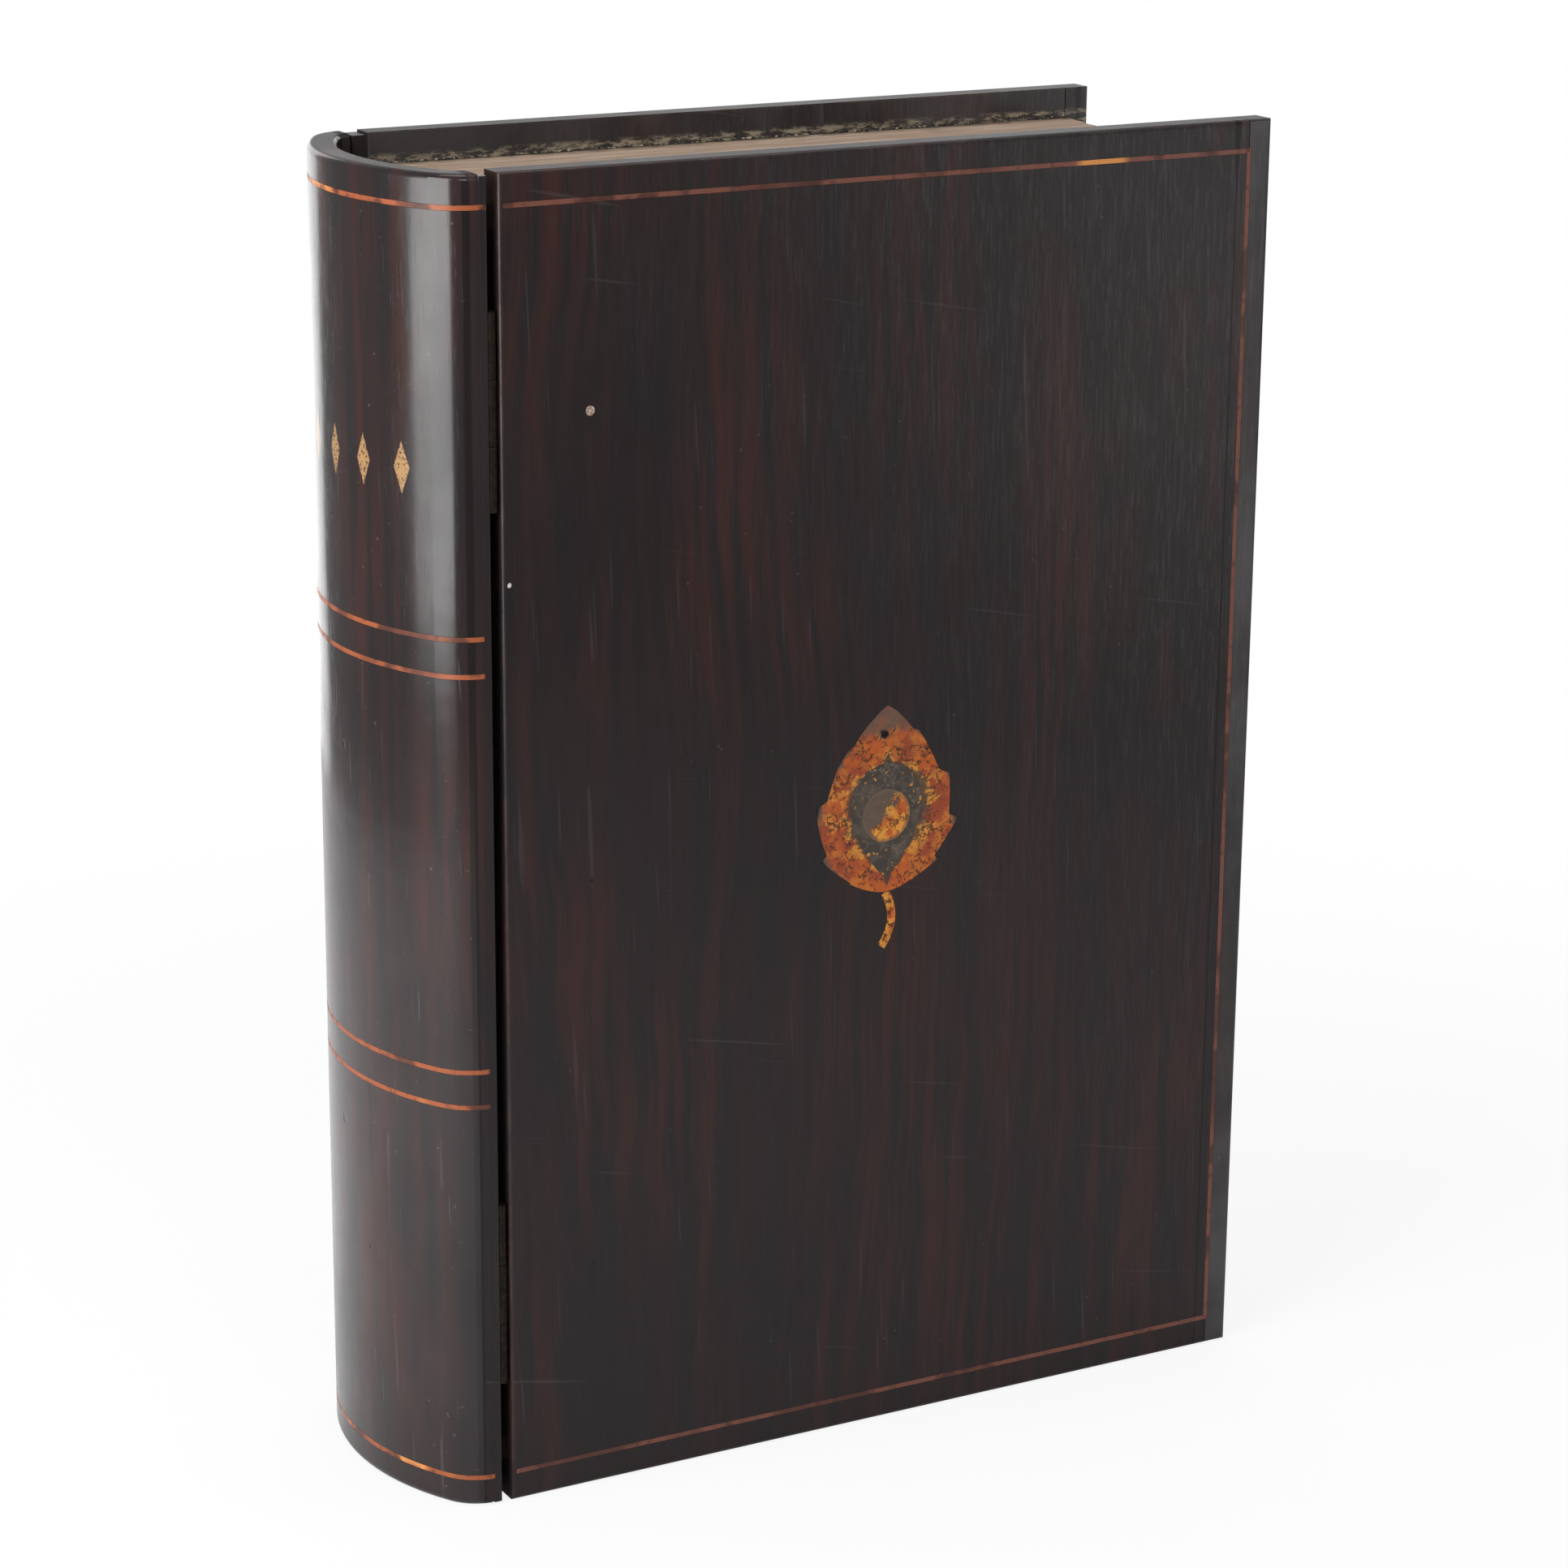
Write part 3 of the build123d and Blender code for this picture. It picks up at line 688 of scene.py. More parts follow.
def spine_material(covers, ornament):
    """Glossy polish over dark wood with red figure, up to a joint beside each groove, and the gilt row."""
    material, tree, shader, position = start_material("polished_spine")
    colour, grain, handling = cover_colours(tree, position, covers, 1.0, 0.10)
    gilt = lozenge_mask(tree, position, ornament, covers.shoulder)
    colour = tree.mix(gilt, colour, ornament.gilt)
    x, y, z = tree.split(position)
    joint_x = spine_high.x - covers.joint_inset
    off_joint = tree.apart(x, joint_x)
    in_wall = tree.step(tree.math("ABSOLUTE", y), covers.joint_start, covers.joint_start + 1.0 * MM)
    joint = tree.times(tree.step(off_joint, 0.5 * MM, 1.0 * MM, 1.0, 0.0), in_wall)
    colour = tree.mix(tree.times(joint, 0.85), colour, covers.pore)
    satin = tree.step(x, joint_x, joint_x + 0.5 * MM)
    round_side = Vector((spine_low.x - FAR, spine_low.y, spine_low.z))
    rim = worn_edges(tree, position, round_side, spine_high, covers.wear_width)
    colour = tree.mix(tree.times(rim, 0.3), colour, covers.bare)
    height = tree.math("ADD", tree.noise(position, 55.0, 2.0), tree.times(grain["Pores"], -0.05))
    height = tree.plus(height, tree.noise(position, 420.0, 2.0), 0.05)
    height = tree.plus(height, joint, -0.15)
    # Painted shade in three small pits
    pits = (
        ((spine_low.x, -0.9 * MM, 160.0 * MM), 0.8 * MM, PIT_SHADE, 1.0),
        ((spine_low.x, 3.2 * MM, 77.0 * MM), 1.1 * MM, PIT_SHADE, 1.0),
        ((spine_low.x + 0.4 * MM, -8.0 * MM, 52.0 * MM), 0.5 * MM, PIT_SHADE, 1.0),
    )
    colour, height = marked(tree, position, colour, height, pits)
    roughness = tree.step(handling["Smudges"], 0.0, 1.0, 0.17, 0.25)
    roughness = tree.plus(roughness, handling["Scratches"], 0.15)
    roughness = tree.plus(roughness, satin, 0.2)
    matt = tree.step(z, spine_high.z - 0.4 * MM, spine_high.z - 0.1 * MM)
    roughness = tree.plus(roughness, matt, 0.25)
    satin = tree.math("MAXIMUM", satin, matt)
    finish_material(tree, shader, colour, roughness, height, 0.25 * MM, shine=0.2)
    gloss = tree.step(handling["Smudges"], 0.0, 1.0, 0.5, 0.36)
    coat(tree, shader, tree.times(gloss, tree.step(satin, 0.0, 1.0, 1.0, 0.0)), 0.15)
    return material


def groove_material(covers, strings):
    """Satin black strip, crossed by a dull length of stringing at the head."""
    material, tree, shader, position = start_material("groove_strip")
    colour, grain, handling = cover_colours(tree, position, covers, 0.5, 0.06)
    z = tree.split(position)[2]
    string_low, string_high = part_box("lid_string_head")
    middle = (string_low.z + string_high.z) / 2
    crossing = tree.math("LESS_THAN", tree.apart(z, middle), (string_high.z - string_low.z) / 2)
    broken = tree.step(tree.noise(position, 800.0, 2.0), 0.35, 0.6, 0.15, 0.7)
    colour = tree.mix(tree.times(crossing, broken), colour, strings.copper)
    roughness = tree.step(handling["Smudges"], 0.0, 1.0, 0.34, 0.46)
    finish_material(tree, shader, colour, roughness, grain["Pores"], 0.02 * MM, shine=0.22)
    return material


def rounded_bar(low_x, high_x, low_y, high_y, radius):
    """Outline of a bar, anticlockwise: four quarter circles about corners set in by the radius."""
    quarter = np.linspace(0.0, pi / 2, 5)
    turn = np.concatenate([quarter + pi, quarter + 1.5 * pi, quarter, quarter + 0.5 * pi])
    corner_x = np.repeat([low_x + radius, high_x - radius, high_x - radius, low_x + radius], 5)
    corner_y = np.repeat([low_y + radius, low_y + radius, high_y - radius, high_y - radius], 5)
    return corner_x + radius * np.cos(turn), corner_y + radius * np.sin(turn)


class STATIONERYBOX_OT_covers(bpy.types.Operator):
    """Finish the lid, the rear cover and their edge strips"""

    bl_idname = "stationerybox.covers"
    bl_label = "Finish Covers"

    def execute(self, context):
        covers = context.scene.stationerybox_covers
        left, face = lid_low.x, lid_low.y
        # Two pits with painted shade, and a pale chip
        marks = (
            ((left + 19.3 * MM, face, 134.3 * MM), 0.45 * MM, PIT_SHADE, 3.0),
            ((left + 19.2 * MM, face, 50.3 * MM), 0.5 * MM, PIT_SHADE, 3.0),
            ((left + 1.6 * MM, face, 198.1 * MM), 0.5 * MM, IVORY, 2.0),
        )
        lid_corner = Vector((strip_high.x, lid_high.y, lid_high.z))
        rear_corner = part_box("rear_edge_strip")[1]
        glue = context.scene.stationerybox_pages.olive
        lid = board_material("ebonised_lid", covers, lid_low, lid_corner, marks)
        # Painted sheen: the edge strip's front face is paled by a film share of 0.26
        strip = board_material("ebonised_strip", covers, strip_low, strip_high, (), 0.4, 0.12, 0.26)
        rear = board_material("ebonised_rear", covers, rear_low, rear_corner, (), 0.7, 0.12, 0.17, glue)
        wear(cad("lid_panel"), lid)
        wear(cad("lid_edge_strip"), strip)
        wear(cad("rear_board", "rear_edge_strip"), rear)
        return {"FINISHED"}


class STATIONERYBOX_OT_spine(bpy.types.Operator):
    """Polish the spine and gild its row of lozenges"""

    bl_idname = "stationerybox.spine"
    bl_label = "Polish Spine"

    def execute(self, context):
        scene = context.scene
        wear(cad("spine_shell"), spine_material(scene.stationerybox_covers, scene.stationerybox_ornament))
        return {"FINISHED"}


class STATIONERYBOX_OT_groove_strips(bpy.types.Operator):
    """Make the strip beside the hinged groove and the filling of the rear groove"""

    bl_idname = "stationerybox.groove_strips"
    bl_label = "Make Groove Strips"

    def execute(self, context):
        covers = context.scene.stationerybox_covers
        material = groove_material(covers, context.scene.stationerybox_strings)
        wear(cad("spine_side_wall"), material)
        edge = spine_high.x
        heights = np.linspace(covers.strip_end, cad_high.z - covers.strip_end, 3)
        front = cad_low.y + covers.strip_setback
        back = cad_high.y - covers.rear_setback
        lap = covers.filling_lap
        strip_x = (edge - covers.strip_root, edge + covers.strip_reach)
        strip = rounded_bar(*strip_x, front, front + covers.strip_depth, covers.strip_radius)
        filling = rounded_bar(edge - lap, lid_low.x + lap, rear_low.y, back, covers.filling_radius)
        carried("groove_strip_front", "spine_wood", *strip, heights, material)
        carried("groove_strip_rear", "spine_wood", *filling, heights, material)
        return {"FINISHED"}


# Page block


def page_material(name, pages, lines):
    """Paper-like edge: fine lines along the sheets, darker in bands, dirty towards the rear cover."""
    material, tree, shader, position = start_material(name)
    x, y, z = tree.split(position)
    sheets = tree.noise(tree.join(y, 0.0, 0.0), 1700.0, 3.0, 0.8)
    lengthwise = tree.join(tree.times(x, 0.08), y, tree.times(z, 0.08))
    bands = tree.noise(lengthwise, 520.0, 4.0, 0.6)
    colour = tree.mix(tree.step(bands, 0.35, 0.7), pages.tan, pages.pale)
    colour = tree.mix(tree.step(sheets, 0.46, 0.64, 0.0, lines), colour, pages.grime)
    cloud = tree.noise(position, 230.0, 5.0, 0.7)
    edge = tree.plus(y, cloud, 7.0 * MM)
    near_rear = tree.step(edge, head_high.y - 0.5 * MM, head_high.y + 3.5 * MM, 0.0, 0.85)
    colour = tree.mix(near_rear, colour, pages.grime)
    # Darker towards the spine
    corner = tree.plus(x, cloud, -16.0 * MM)
    near_spine = tree.step(corner, spine_high.x - 12.0 * MM, spine_high.x - 2.0 * MM, 0.75, 0.0)
    colour = tree.mix(near_spine, colour, pages.grime)
    stains = tree.step(tree.noise(position, 48.0, 4.0, 0.6), 0.55, 0.75, 0.0, 0.4)
    colour = tree.mix(stains, colour, pages.grime)
    roughness = tree.step(bands, 0.2, 0.8, 0.6, 0.85)
    finish_material(tree, shader, colour, roughness, sheets, 0.04 * MM, shine=0.25)
    return material


def oval_reach(y, half_depth, middle_y, bulge, shoulder):
    """How far a half oval of three tangent arcs bulges to -X at each Y."""
    crown = crown_radius(bulge, half_depth, shoulder)
    rise = half_depth - shoulder
    joint_y = crown * rise / np.hypot(crown - bulge, rise)
    offset = np.abs(y - middle_y)
    on_crown = np.sqrt(np.maximum(crown**2 - offset**2, 0.0)) - (crown - bulge)
    on_shoulder = np.sqrt(np.maximum(shoulder**2 - (offset - rise) ** 2, 0.0))
    return np.where(offset < joint_y, on_crown, on_shoulder)


def sheet_ridge(y, pages):
    """Ridge of each sheet, from 0 in a gap to 1: the root of a rectified sine of the distance across."""
    return np.abs(np.sin(pi * (y - head_low.y) / pages.pitch)) ** 0.6


def fore_edge(y, low, high, pages):
    """X of the hollow fore edge: an arc across the trimmed block, less the gaps between the sheets."""
    half = (high.y - low.y) / 2
    radius = (half**2 + pages.hollow**2) / (2 * pages.hollow)
    depth = np.sqrt(np.maximum(radius**2 - (y - (low.y + high.y) / 2) ** 2, 0.0)) - (radius - pages.hollow)
    return high.x - pages.trim - np.clip(depth, 0.0, None) - pages.relief * (1 - sheet_ridge(y, pages))


def page_board(name, node, side, pages, material):
    """Head or tail of the page block, with ridged sheets on its outer face and a hollow fore edge.

    Rows run across the sheets and columns along them, from the half oval at the spine to the fore edge. The
    outer face sinks by the gaps between the sheets and by a slow product of sines. The flat inner face is
    the same grid, and a wall of quads joins the two borders.
    """
    low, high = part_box(node)
    rows = int((high.y - low.y) / pages.pitch * ROWS_PER_SHEET)
    columns = PAGE_COLUMNS
    v = np.linspace(0.0, 1.0, rows)[:, None]
    u = np.linspace(0.0, 1.0, columns)[None, :]
    y = low.y + (high.y - low.y) * v + 0 * u
    reach = oval_reach(y, (high.y - low.y) / 2, (low.y + high.y) / 2, spine_high.x - low.x, pages.shoulder)
    start = spine_high.x - reach
    x = start + (fore_edge(y, low, high, pages) - start) * u
    slow = 0.5 + 0.5 * np.sin(190.0 * x + 900.0 * y) * np.sin(61.0 * x - 210.0 * y)
    sunk = pages.relief * (0.5 * (1 - sheet_ridge(y, pages)) + 1.2 * slow)
    outer = (high.z if side > 0 else low.z) - side * sunk
    inner = (low.z if side > 0 else high.z) + 0 * sunk
    count = rows * columns
    grid = np.arange(count).reshape(rows, columns)
    quads = np.stack((grid[:-1, :-1], grid[:-1, 1:], grid[1:, 1:], grid[1:, :-1]), axis=-1).reshape(-1, 4)
    border = np.concatenate([grid[0, :-1], grid[:-1, -1], grid[-1, :0:-1], grid[:0:-1, 0]])
    after = np.roll(border, -1)
    wall = np.stack((border + count, after + count, after, border), axis=-1)
    faces = np.concatenate([quads, quads[:, ::-1] + count, wall])
    if side < 0:
        faces = faces[:, ::-1]
    points = np.concatenate([np.stack((x, y, z), axis=-1).reshape(-1, 3) for z in (outer, inner)])
    piece = new_piece(name, points, faces, material)
    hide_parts(node)


def page_fore_edge(pages, material):
    """Hollow, ridged fore edge between the head and the tail, flat inside, carried up Z."""
    low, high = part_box("fore_edge_wall")
    y = np.linspace(low.y, high.y, int((high.y - low.y) / pages.pitch * POINTS_PER_SHEET))
    outline_x = np.concatenate([fore_edge(y, low, high, pages), [low.x, low.x]])
    outline_y = np.concatenate([y, [high.y, low.y]])
    heights = np.linspace(low.z, high.z, 3)
    piece = carried("page_fore_edge", "page_edge", outline_x, outline_y, heights, material)
    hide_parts("fore_edge_wall")


def dirt_bead(pages, material):
    """Bead of old glue and dust in the corner between the head board and the rear cover.

    A quarter round carried along X, whose size follows a sum of sines and never falls below a tenth.
    """
    along = np.linspace(0.0, 1.0, 900)[:, None]
    turn = np.linspace(0.0, pi / 2, 9)[None, :]
    start, end = spine_high.x + pages.bead_start, head_high.x - pages.bead_end
    x = start + (end - start) * along + 0 * turn
    rough = np.sin(1310.0 * x) * np.sin(417.0 * x + 1.0)
    rough = rough + 0.6 * np.sin(2890.0 * x + 0.5) + 0.5 * np.sin(163.0 * x)
    size = pages.bead * np.clip(0.36 + 0.3 * rough, 0.1, 1.0)
    lump = 1.0 + 0.25 * np.sin(5200.0 * x + 6.0 * turn)
    y = head_high.y - size * lump * np.cos(turn)
    z = head_high.z + 0.02 * MM + size * lump * np.sin(turn)
    surface("dirt_bead", x, y, z, material)


def bead_material(pages):
    """Crumbs of tan and olive in a nearly black bead."""
    material, tree, shader, position = start_material("old_glue_and_dust")
    crumbs = tree.noise(position, 900.0, 3.0, 0.7)
    colour = tree.mix(tree.step(crumbs, 0.52, 0.62), pages.crust, pages.olive)
    light = tree.step(tree.noise(position, 330.0, 2.0), 0.60, 0.66)
    colour = tree.mix(tree.times(light, 0.9), colour, pages.pale)
    finish_material(tree, shader, colour, 0.85, crumbs, 0.15 * MM)
    return material


class STATIONERYBOX_OT_page_block(bpy.types.Operator):
    """Make the page edges at head, tail and fore edge, and the dirt along the rear cover"""

    bl_idname = "stationerybox.page_block"
    bl_label = "Make Page Edges"

    def execute(self, context):
        pages = context.scene.stationerybox_pages
        edges = page_material("page_edges", pages, 0.4)
        page_board("page_head", "head_board", 1, pages, edges)
        page_board("page_tail", "tail_board", -1, pages, edges)
        page_fore_edge(pages, page_material("page_fore_edge", pages, 0.8))
        dirt_bead(pages, bead_material(pages))
        return {"FINISHED"}


# Stringing


def stringing_material(name, strings, ground, brightness, low, high, clean=False):
    """Aged stringing with brighter and darker lengths, small breaks, and polish lapped over its edges.

    Low and high are corners of a box whose edges along the string are the string's own. One length may be
    cleaner than the rest.
    """
    material, tree, shader, position = start_material(name)
    lengths = tree.noise(position, 46.0, 3.0, 0.6)
    colour = tree.mix(tree.step(lengths, 0.60 - brightness, 0.74 - brightness), ground, strings.bright)
    colour = tree.mix(tree.step(lengths, 0.46, 0.34, 0.0, 0.8), colour, strings.dark)
    small = tree.noise(position, 420.0, 3.0, 0.6)
    colour = tree.mix(tree.step(small, 0.52, 0.7, 0.0, 0.75), colour, strings.dark)
    breaks = tree.times(tree.step(tree.noise(position, 95.0, 2.0), 0.56, 0.64), 0.85)
    colour = tree.mix(breaks, colour, strings.dark)
    if clean:
        x = tree.split(position)[0]
        fade = strings.clean_fade
        after = tree.step(x, strings.clean_start - fade, strings.clean_start + fade)
        before = tree.step(x, strings.clean_end - fade, strings.clean_end + fade, 0.9, 0.0)
        colour = tree.mix(tree.times(after, before), colour, strings.bright)
    lapped = worn_edges(tree, position, low, high, strings.ragged)
    colour = tree.mix(tree.times(lapped, 0.85), colour, strings.dark)
    roughness = tree.step(small, 0.3, 0.7, 0.28, 0.45)
    finish_material(tree, shader, colour, roughness, small, 0.05 * MM, shine=0.18)
    coat(tree, shader, 0.06, 0.15)
    return material


class STATIONERYBOX_OT_stringing(bpy.types.Operator):
    """Finish the inlaid lines on the lid and round the spine"""

    bl_idname = "stationerybox.stringing"
    bl_label = "Finish Stringing"

    def execute(self, context):
        strings = context.scene.stationerybox_strings
        for node in cad_starting("lid_string"):
            low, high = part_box(node.name)
            low.y -= FAR
            clean = node.name == "lid_string_head"
            name = f"dull_{node.name}"
            wear([node], stringing_material(name, strings, strings.dull, -0.06, low, high, clean))
        for node in cad_starting("spine_band"):
            low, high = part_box(node.name)
            low, high = Vector((-FAR, -FAR, low.z)), Vector((FAR, FAR, high.z))
            name = f"copper_{node.name}"
            wear([node], stringing_material(name, strings, strings.copper, 0.03, low, high))
        return {"FINISHED"}


# Leaf


def leaf_reach():
    """Group: distance from a leaf's middle line as a share of its half width at that height.

    The half width is a root of the sine of pi times a power of the share of the leaf's length.
    """
    group, tree, given, result = start_group(
        "Leaf Reach",
        [
            ("Position", VECTOR, None),
            ("Base", VECTOR, None),
            ("Length", VALUE, 41.2 * MM),
            ("Half Width", VALUE, 15.4 * MM),
            ("Fullness", VALUE, 0.72),
            ("Roundness", VALUE, 0.8),
        ],
        [("Reach", VALUE), ("Share", VALUE)],
    )
    if tree:
        x, _, z = tree.split(tree.vector("SUBTRACT", given["Position"], given["Base"]))
        share = tree.math("DIVIDE", z, given["Length"])
        held = tree.math("MINIMUM", tree.math("MAXIMUM", share, 0.001), 0.999)
        turn = tree.times(tree.math("POWER", held, given["Fullness"]), pi)
        swell = tree.math("POWER", tree.math("MAXIMUM", tree.math("SINE", turn), 0.01), given["Roundness"])
        across = tree.math("DIVIDE", tree.math("ABSOLUTE", x), given["Half Width"])
        beyond = tree.times(tree.apart(share, held), 12.0)
        tree.feed(result["Reach"], tree.math("ADD", tree.math("DIVIDE", across, swell), beyond))
        tree.feed(result["Share"], share)
    return group


def meander():
    """Group: thin wandering lines, where a cloudy value crosses its middle."""
    group, tree, given, result = start_group(
        "Meander",
        [("Position", VECTOR, None), ("Scale", VALUE, 260.0), ("Thickness", VALUE, 0.02)],
        [("Lines", VALUE)],
    )
    if tree:
        cloud = tree.noise(given["Position"], given["Scale"], 3.0, 0.6)
        off = tree.apart(cloud, 0.5)
        ratio = tree.math("DIVIDE", off, given["Thickness"])
        tree.feed(result["Lines"], tree.step(ratio, 0.3, 1.0, 1.0, 0.0))
    return group


def finish_veneer(tree, shader, colour, roughness, height):
    """Feed a polished veneer of low gloss."""
    finish_material(tree, shader, colour, roughness, height, 0.05 * MM, shine=0.14)
    coat(tree, shader, 0.05, 0.18)


def shifted(tree, value, cloud, amount):
    """A value moved by a cloudy one about its middle."""
    return tree.plus(value, tree.math("SUBTRACT", cloud, 0.5), amount)


def reach_of(tree, position, low, high, half_width, **shape):
    """Reach and share of a leaf from one corner's height to another's, about the blade's middle line."""
    base = Vector((leaf_middle.x, low.y, low.z))
    span = high.z - low.z
    return tree.group(
        leaf_reach(), Position=position, Base=base, Length=span, Half_Width=half_width, **shape
    )


def blade_material(leaf, covers):
    """Mottled orange, red and amber veneer, scorched in lines and spots, with a grey ragged rim and tip."""
    material, tree, shader, position = start_material("leaf_veneer")
    blade = reach_of(tree, position, blade_low, blade_high, leaf.half_width)
    field = reach_of(
        tree, position, heart_low, heart_high, leaf.field_half_width, Fullness=1.5, Roundness=0.5
    )["Reach"]
    patches = tree.noise(position, 190.0, 4.0, 0.6, 0.5)
    fine = tree.noise(position, 620.0, 4.0, 0.68)
    colour = tree.mix(tree.step(patches, 0.42, 0.58), leaf.red, leaf.orange)
    light = tree.noise(tree.vector("ADD", position, (0.3, 0.0, 0.1)), 280.0, 4.0, 0.66)
    near_field = tree.step(shifted(tree, field, fine, 1.2), 1.0, 2.1, 0.95, 0.25)
    amber = tree.times(tree.step(light, 0.47, 0.58), near_field)
    colour = tree.mix(amber, colour, leaf.amber)
    spots = tree.step(tree.noise(position, 1000.0, 3.0, 0.7), 0.54, 0.64, 0.0, 0.7)
    colour = tree.mix(spots, colour, leaf.scorch)
    lines = tree.group(meander(), Position=position, Scale=210.0, Thickness=0.022)["Lines"]
    broken = tree.step(light, 0.44, 0.52, 0.0, 0.85)
    colour = tree.mix(tree.times(lines, broken), colour, leaf.scorch)
    charred = tree.step(shifted(tree, field, fine, 1.3), 1.04, 1.28, 0.9, 0.0)
    colour = tree.mix(charred, colour, leaf.field)
    rim = tree.step(shifted(tree, blade["Reach"], fine, 0.38), 1.02, 1.12, 0.0, 0.9)
    colour = tree.mix(rim, colour, leaf.grey)
    tip = tree.step(shifted(tree, blade["Share"], patches, 0.22), 0.83, 0.89, 0.0, 0.85)
    colour = tree.mix(tip, colour, leaf.grey)
    flecks = tree.times(tip, tree.step(fine, 0.50, 0.60, 0.0, 0.45))
    colour = tree.mix(flecks, colour, leaf.red)
    trimmed = tree.step(shifted(tree, blade["Reach"], patches, 0.16), 1.09, 1.15)
    colour = tree.mix(trimmed, colour, covers.black)
    # Painted shade in the worm hole
    hole_at = Vector((leaf_middle.x - leaf.hole_aside, blade_low.y, blade_high.z - leaf.hole_below_tip))
    hole = tree.group(round_mark(), Position=position, Centre=hole_at, Radius=leaf.hole_radius)["Mark"]
    colour = tree.mix(hole, colour, PIT_SHADE)
    height = tree.plus(fine, hole, -2.0)
    finish_veneer(tree, shader, colour, tree.step(patches, 0.2, 0.8, 0.36, 0.5), height)
    return material


def field_material(leaf):
    """Dark stained veneer, with paler lines towards its rim."""
    material, tree, shader, position = start_material("leaf_field")
    away = tree.vector("DISTANCE", position, Vector((boss_middle.x, boss_low.y, boss_middle.z)))
    cloud = tree.noise(position, 300.0, 4.0, 0.65)
    colour = tree.mix(tree.step(cloud, 0.4, 0.68), leaf.field, leaf.grey)
    lines = tree.group(meander(), Position=position, Scale=170.0, Thickness=0.012)["Lines"]
    colour = tree.mix(tree.times(lines, 0.4), colour, leaf.vein)
    crumbs = tree.step(tree.noise(position, 640.0, 3.0), 0.62, 0.68, 0.0, 0.8)
    rim = tree.step(away, 6.6 * MM, 9.0 * MM)
    colour = tree.mix(tree.times(crumbs, rim), colour, leaf.amber)
    finish_veneer(tree, shader, colour, 0.42, cloud)
    return material


def boss_material(leaf):
    """Amber boss with scorched lines, shaded grey over its upper left."""
    material, tree, shader, position = start_material("leaf_boss")
    offset = tree.vector("SUBTRACT", position, boss_middle)
    slant = tree.vector("DOT_PRODUCT", offset, (-0.75, 0.0, 0.66))
    cloud = tree.noise(position, 420.0, 4.0, 0.65)
    ragged = shifted(tree, slant, cloud, 9.0 * MM)
    patches = tree.step(tree.noise(position, 380.0, 4.0, 0.65), 0.42, 0.58)
    colour = tree.mix(patches, leaf.orange, leaf.amber)
    lines = tree.group(meander(), Position=position, Scale=300.0, Thickness=0.03)["Lines"]
    colour = tree.mix(tree.times(lines, 0.75), colour, leaf.scorch)
    colour = tree.mix(tree.step(ragged, -0.4 * MM, 0.8 * MM, 0.0, 0.95), colour, leaf.grey)
    away = tree.vector("LENGTH", tree.vector("MULTIPLY", offset, (1.0, 0.0, 1.0)))
    rim = tree.step(away, leaf.boss_radius, leaf.boss_radius + 0.5 * MM, 0.0, 0.6)
    colour = tree.mix(rim, colour, leaf.brown)
    finish_veneer(tree, shader, colour, 0.4, cloud)
    return material


def stalk_material(leaf):
    """Amber stalk, speckled dark."""
    material, tree, shader, position = start_material("leaf_stalk")
    cloud = tree.noise(position, 500.0, 3.0, 0.6)
    colour = tree.mix(tree.step(cloud, 0.4, 0.65), leaf.amber, leaf.orange)
    spots = tree.step(tree.noise(position, 900.0, 3.0, 0.7), 0.5, 0.58, 0.0, 0.85)
    colour = tree.mix(spots, colour, leaf.scorch)
    finish_veneer(tree, shader, colour, 0.42, cloud)
    return material


def plug_material(leaf):
    """Small plug of pale end grain."""
    material, tree, shader, position = start_material("pale_plug")
    cloud = tree.noise(position, 1500.0, 3.0, 0.7)
    colour = tree.mix(tree.step(cloud, 0.35, 0.7), leaf.plug, leaf.plug_pale)
    finish_material(tree, shader, colour, 0.6, cloud, 0.05 * MM)
    return material


class STATIONERYBOX_OT_leaf(bpy.types.Operator):
    """Finish the leaf's blade, field, boss and stalk, and the plug"""

    bl_idname = "stationerybox.leaf"
    bl_label = "Finish Leaf"

    def execute(self, context):
        leaf = context.scene.stationerybox_leaf
        wear(cad("leaf_blade"), blade_material(leaf, context.scene.stationerybox_covers))
        wear(cad("leaf_heart"), field_material(leaf))
        wear(cad("leaf_boss"), boss_material(leaf))
        wear(cad("leaf_stem"), stalk_material(leaf))
        wear(cad("lid_plug"), plug_material(leaf))
        return {"FINISHED"}


# Inside, and hinges


def divider_material(inside):
    """Waxed reddish wood, grain along Z."""
    material, tree, shader, position = start_material("waxed_divider")
    grain = tree.group(wood_streaks(), Position=position, Streak_Scale=160.0)
    colour = tree.mix(grain["Streaks"], inside.wood, inside.streak)
    colour = tree.mix(tree.times(grain["Pores"], 0.6), colour, inside.pore)
    finish_material(tree, shader, colour, 0.45, grain["Pores"], 0.04 * MM)
    return material


def lining_material(inside):
    """Dark red marbled paper with a fine tooth, rubbed in places."""
    material, tree, shader, position = start_material("lining_paper")
    tooth = tree.noise(position, 1800.0, 3.0, 0.7)
    marbled = tree.noise(position, 60.0, 5.0, 0.6, 1.2)
    colour = tree.mix(tree.step(marbled, 0.4, 0.62), inside.paper, inside.marbling)
    rubbed = tree.step(tree.noise(position, 35.0, 4.0, 0.7), 0.58, 0.75, 0.0, 0.4)
    colour = tree.mix(rubbed, colour, inside.rubbed)
    finish_material(tree, shader, colour, 0.85, tooth, 0.05 * MM)
    return material


def metal_material(name, bright, tarnish, roughness):
    """Old metal: bright colour under patches of tarnish."""
    material, tree, shader, position = start_material(name)
    patches = tree.step(tree.noise(position, 700.0, 4.0, 0.65), 0.34, 0.6)
    colour = tree.mix(patches, bright, tarnish)
    shader.inputs["Metallic"].default_value = 0.9
    tarnished = tree.step(patches, 0.0, 1.0, roughness, roughness + 0.25)
    finish_material(tree, shader, colour, tarnished, patches, 0.02 * MM)
    return material


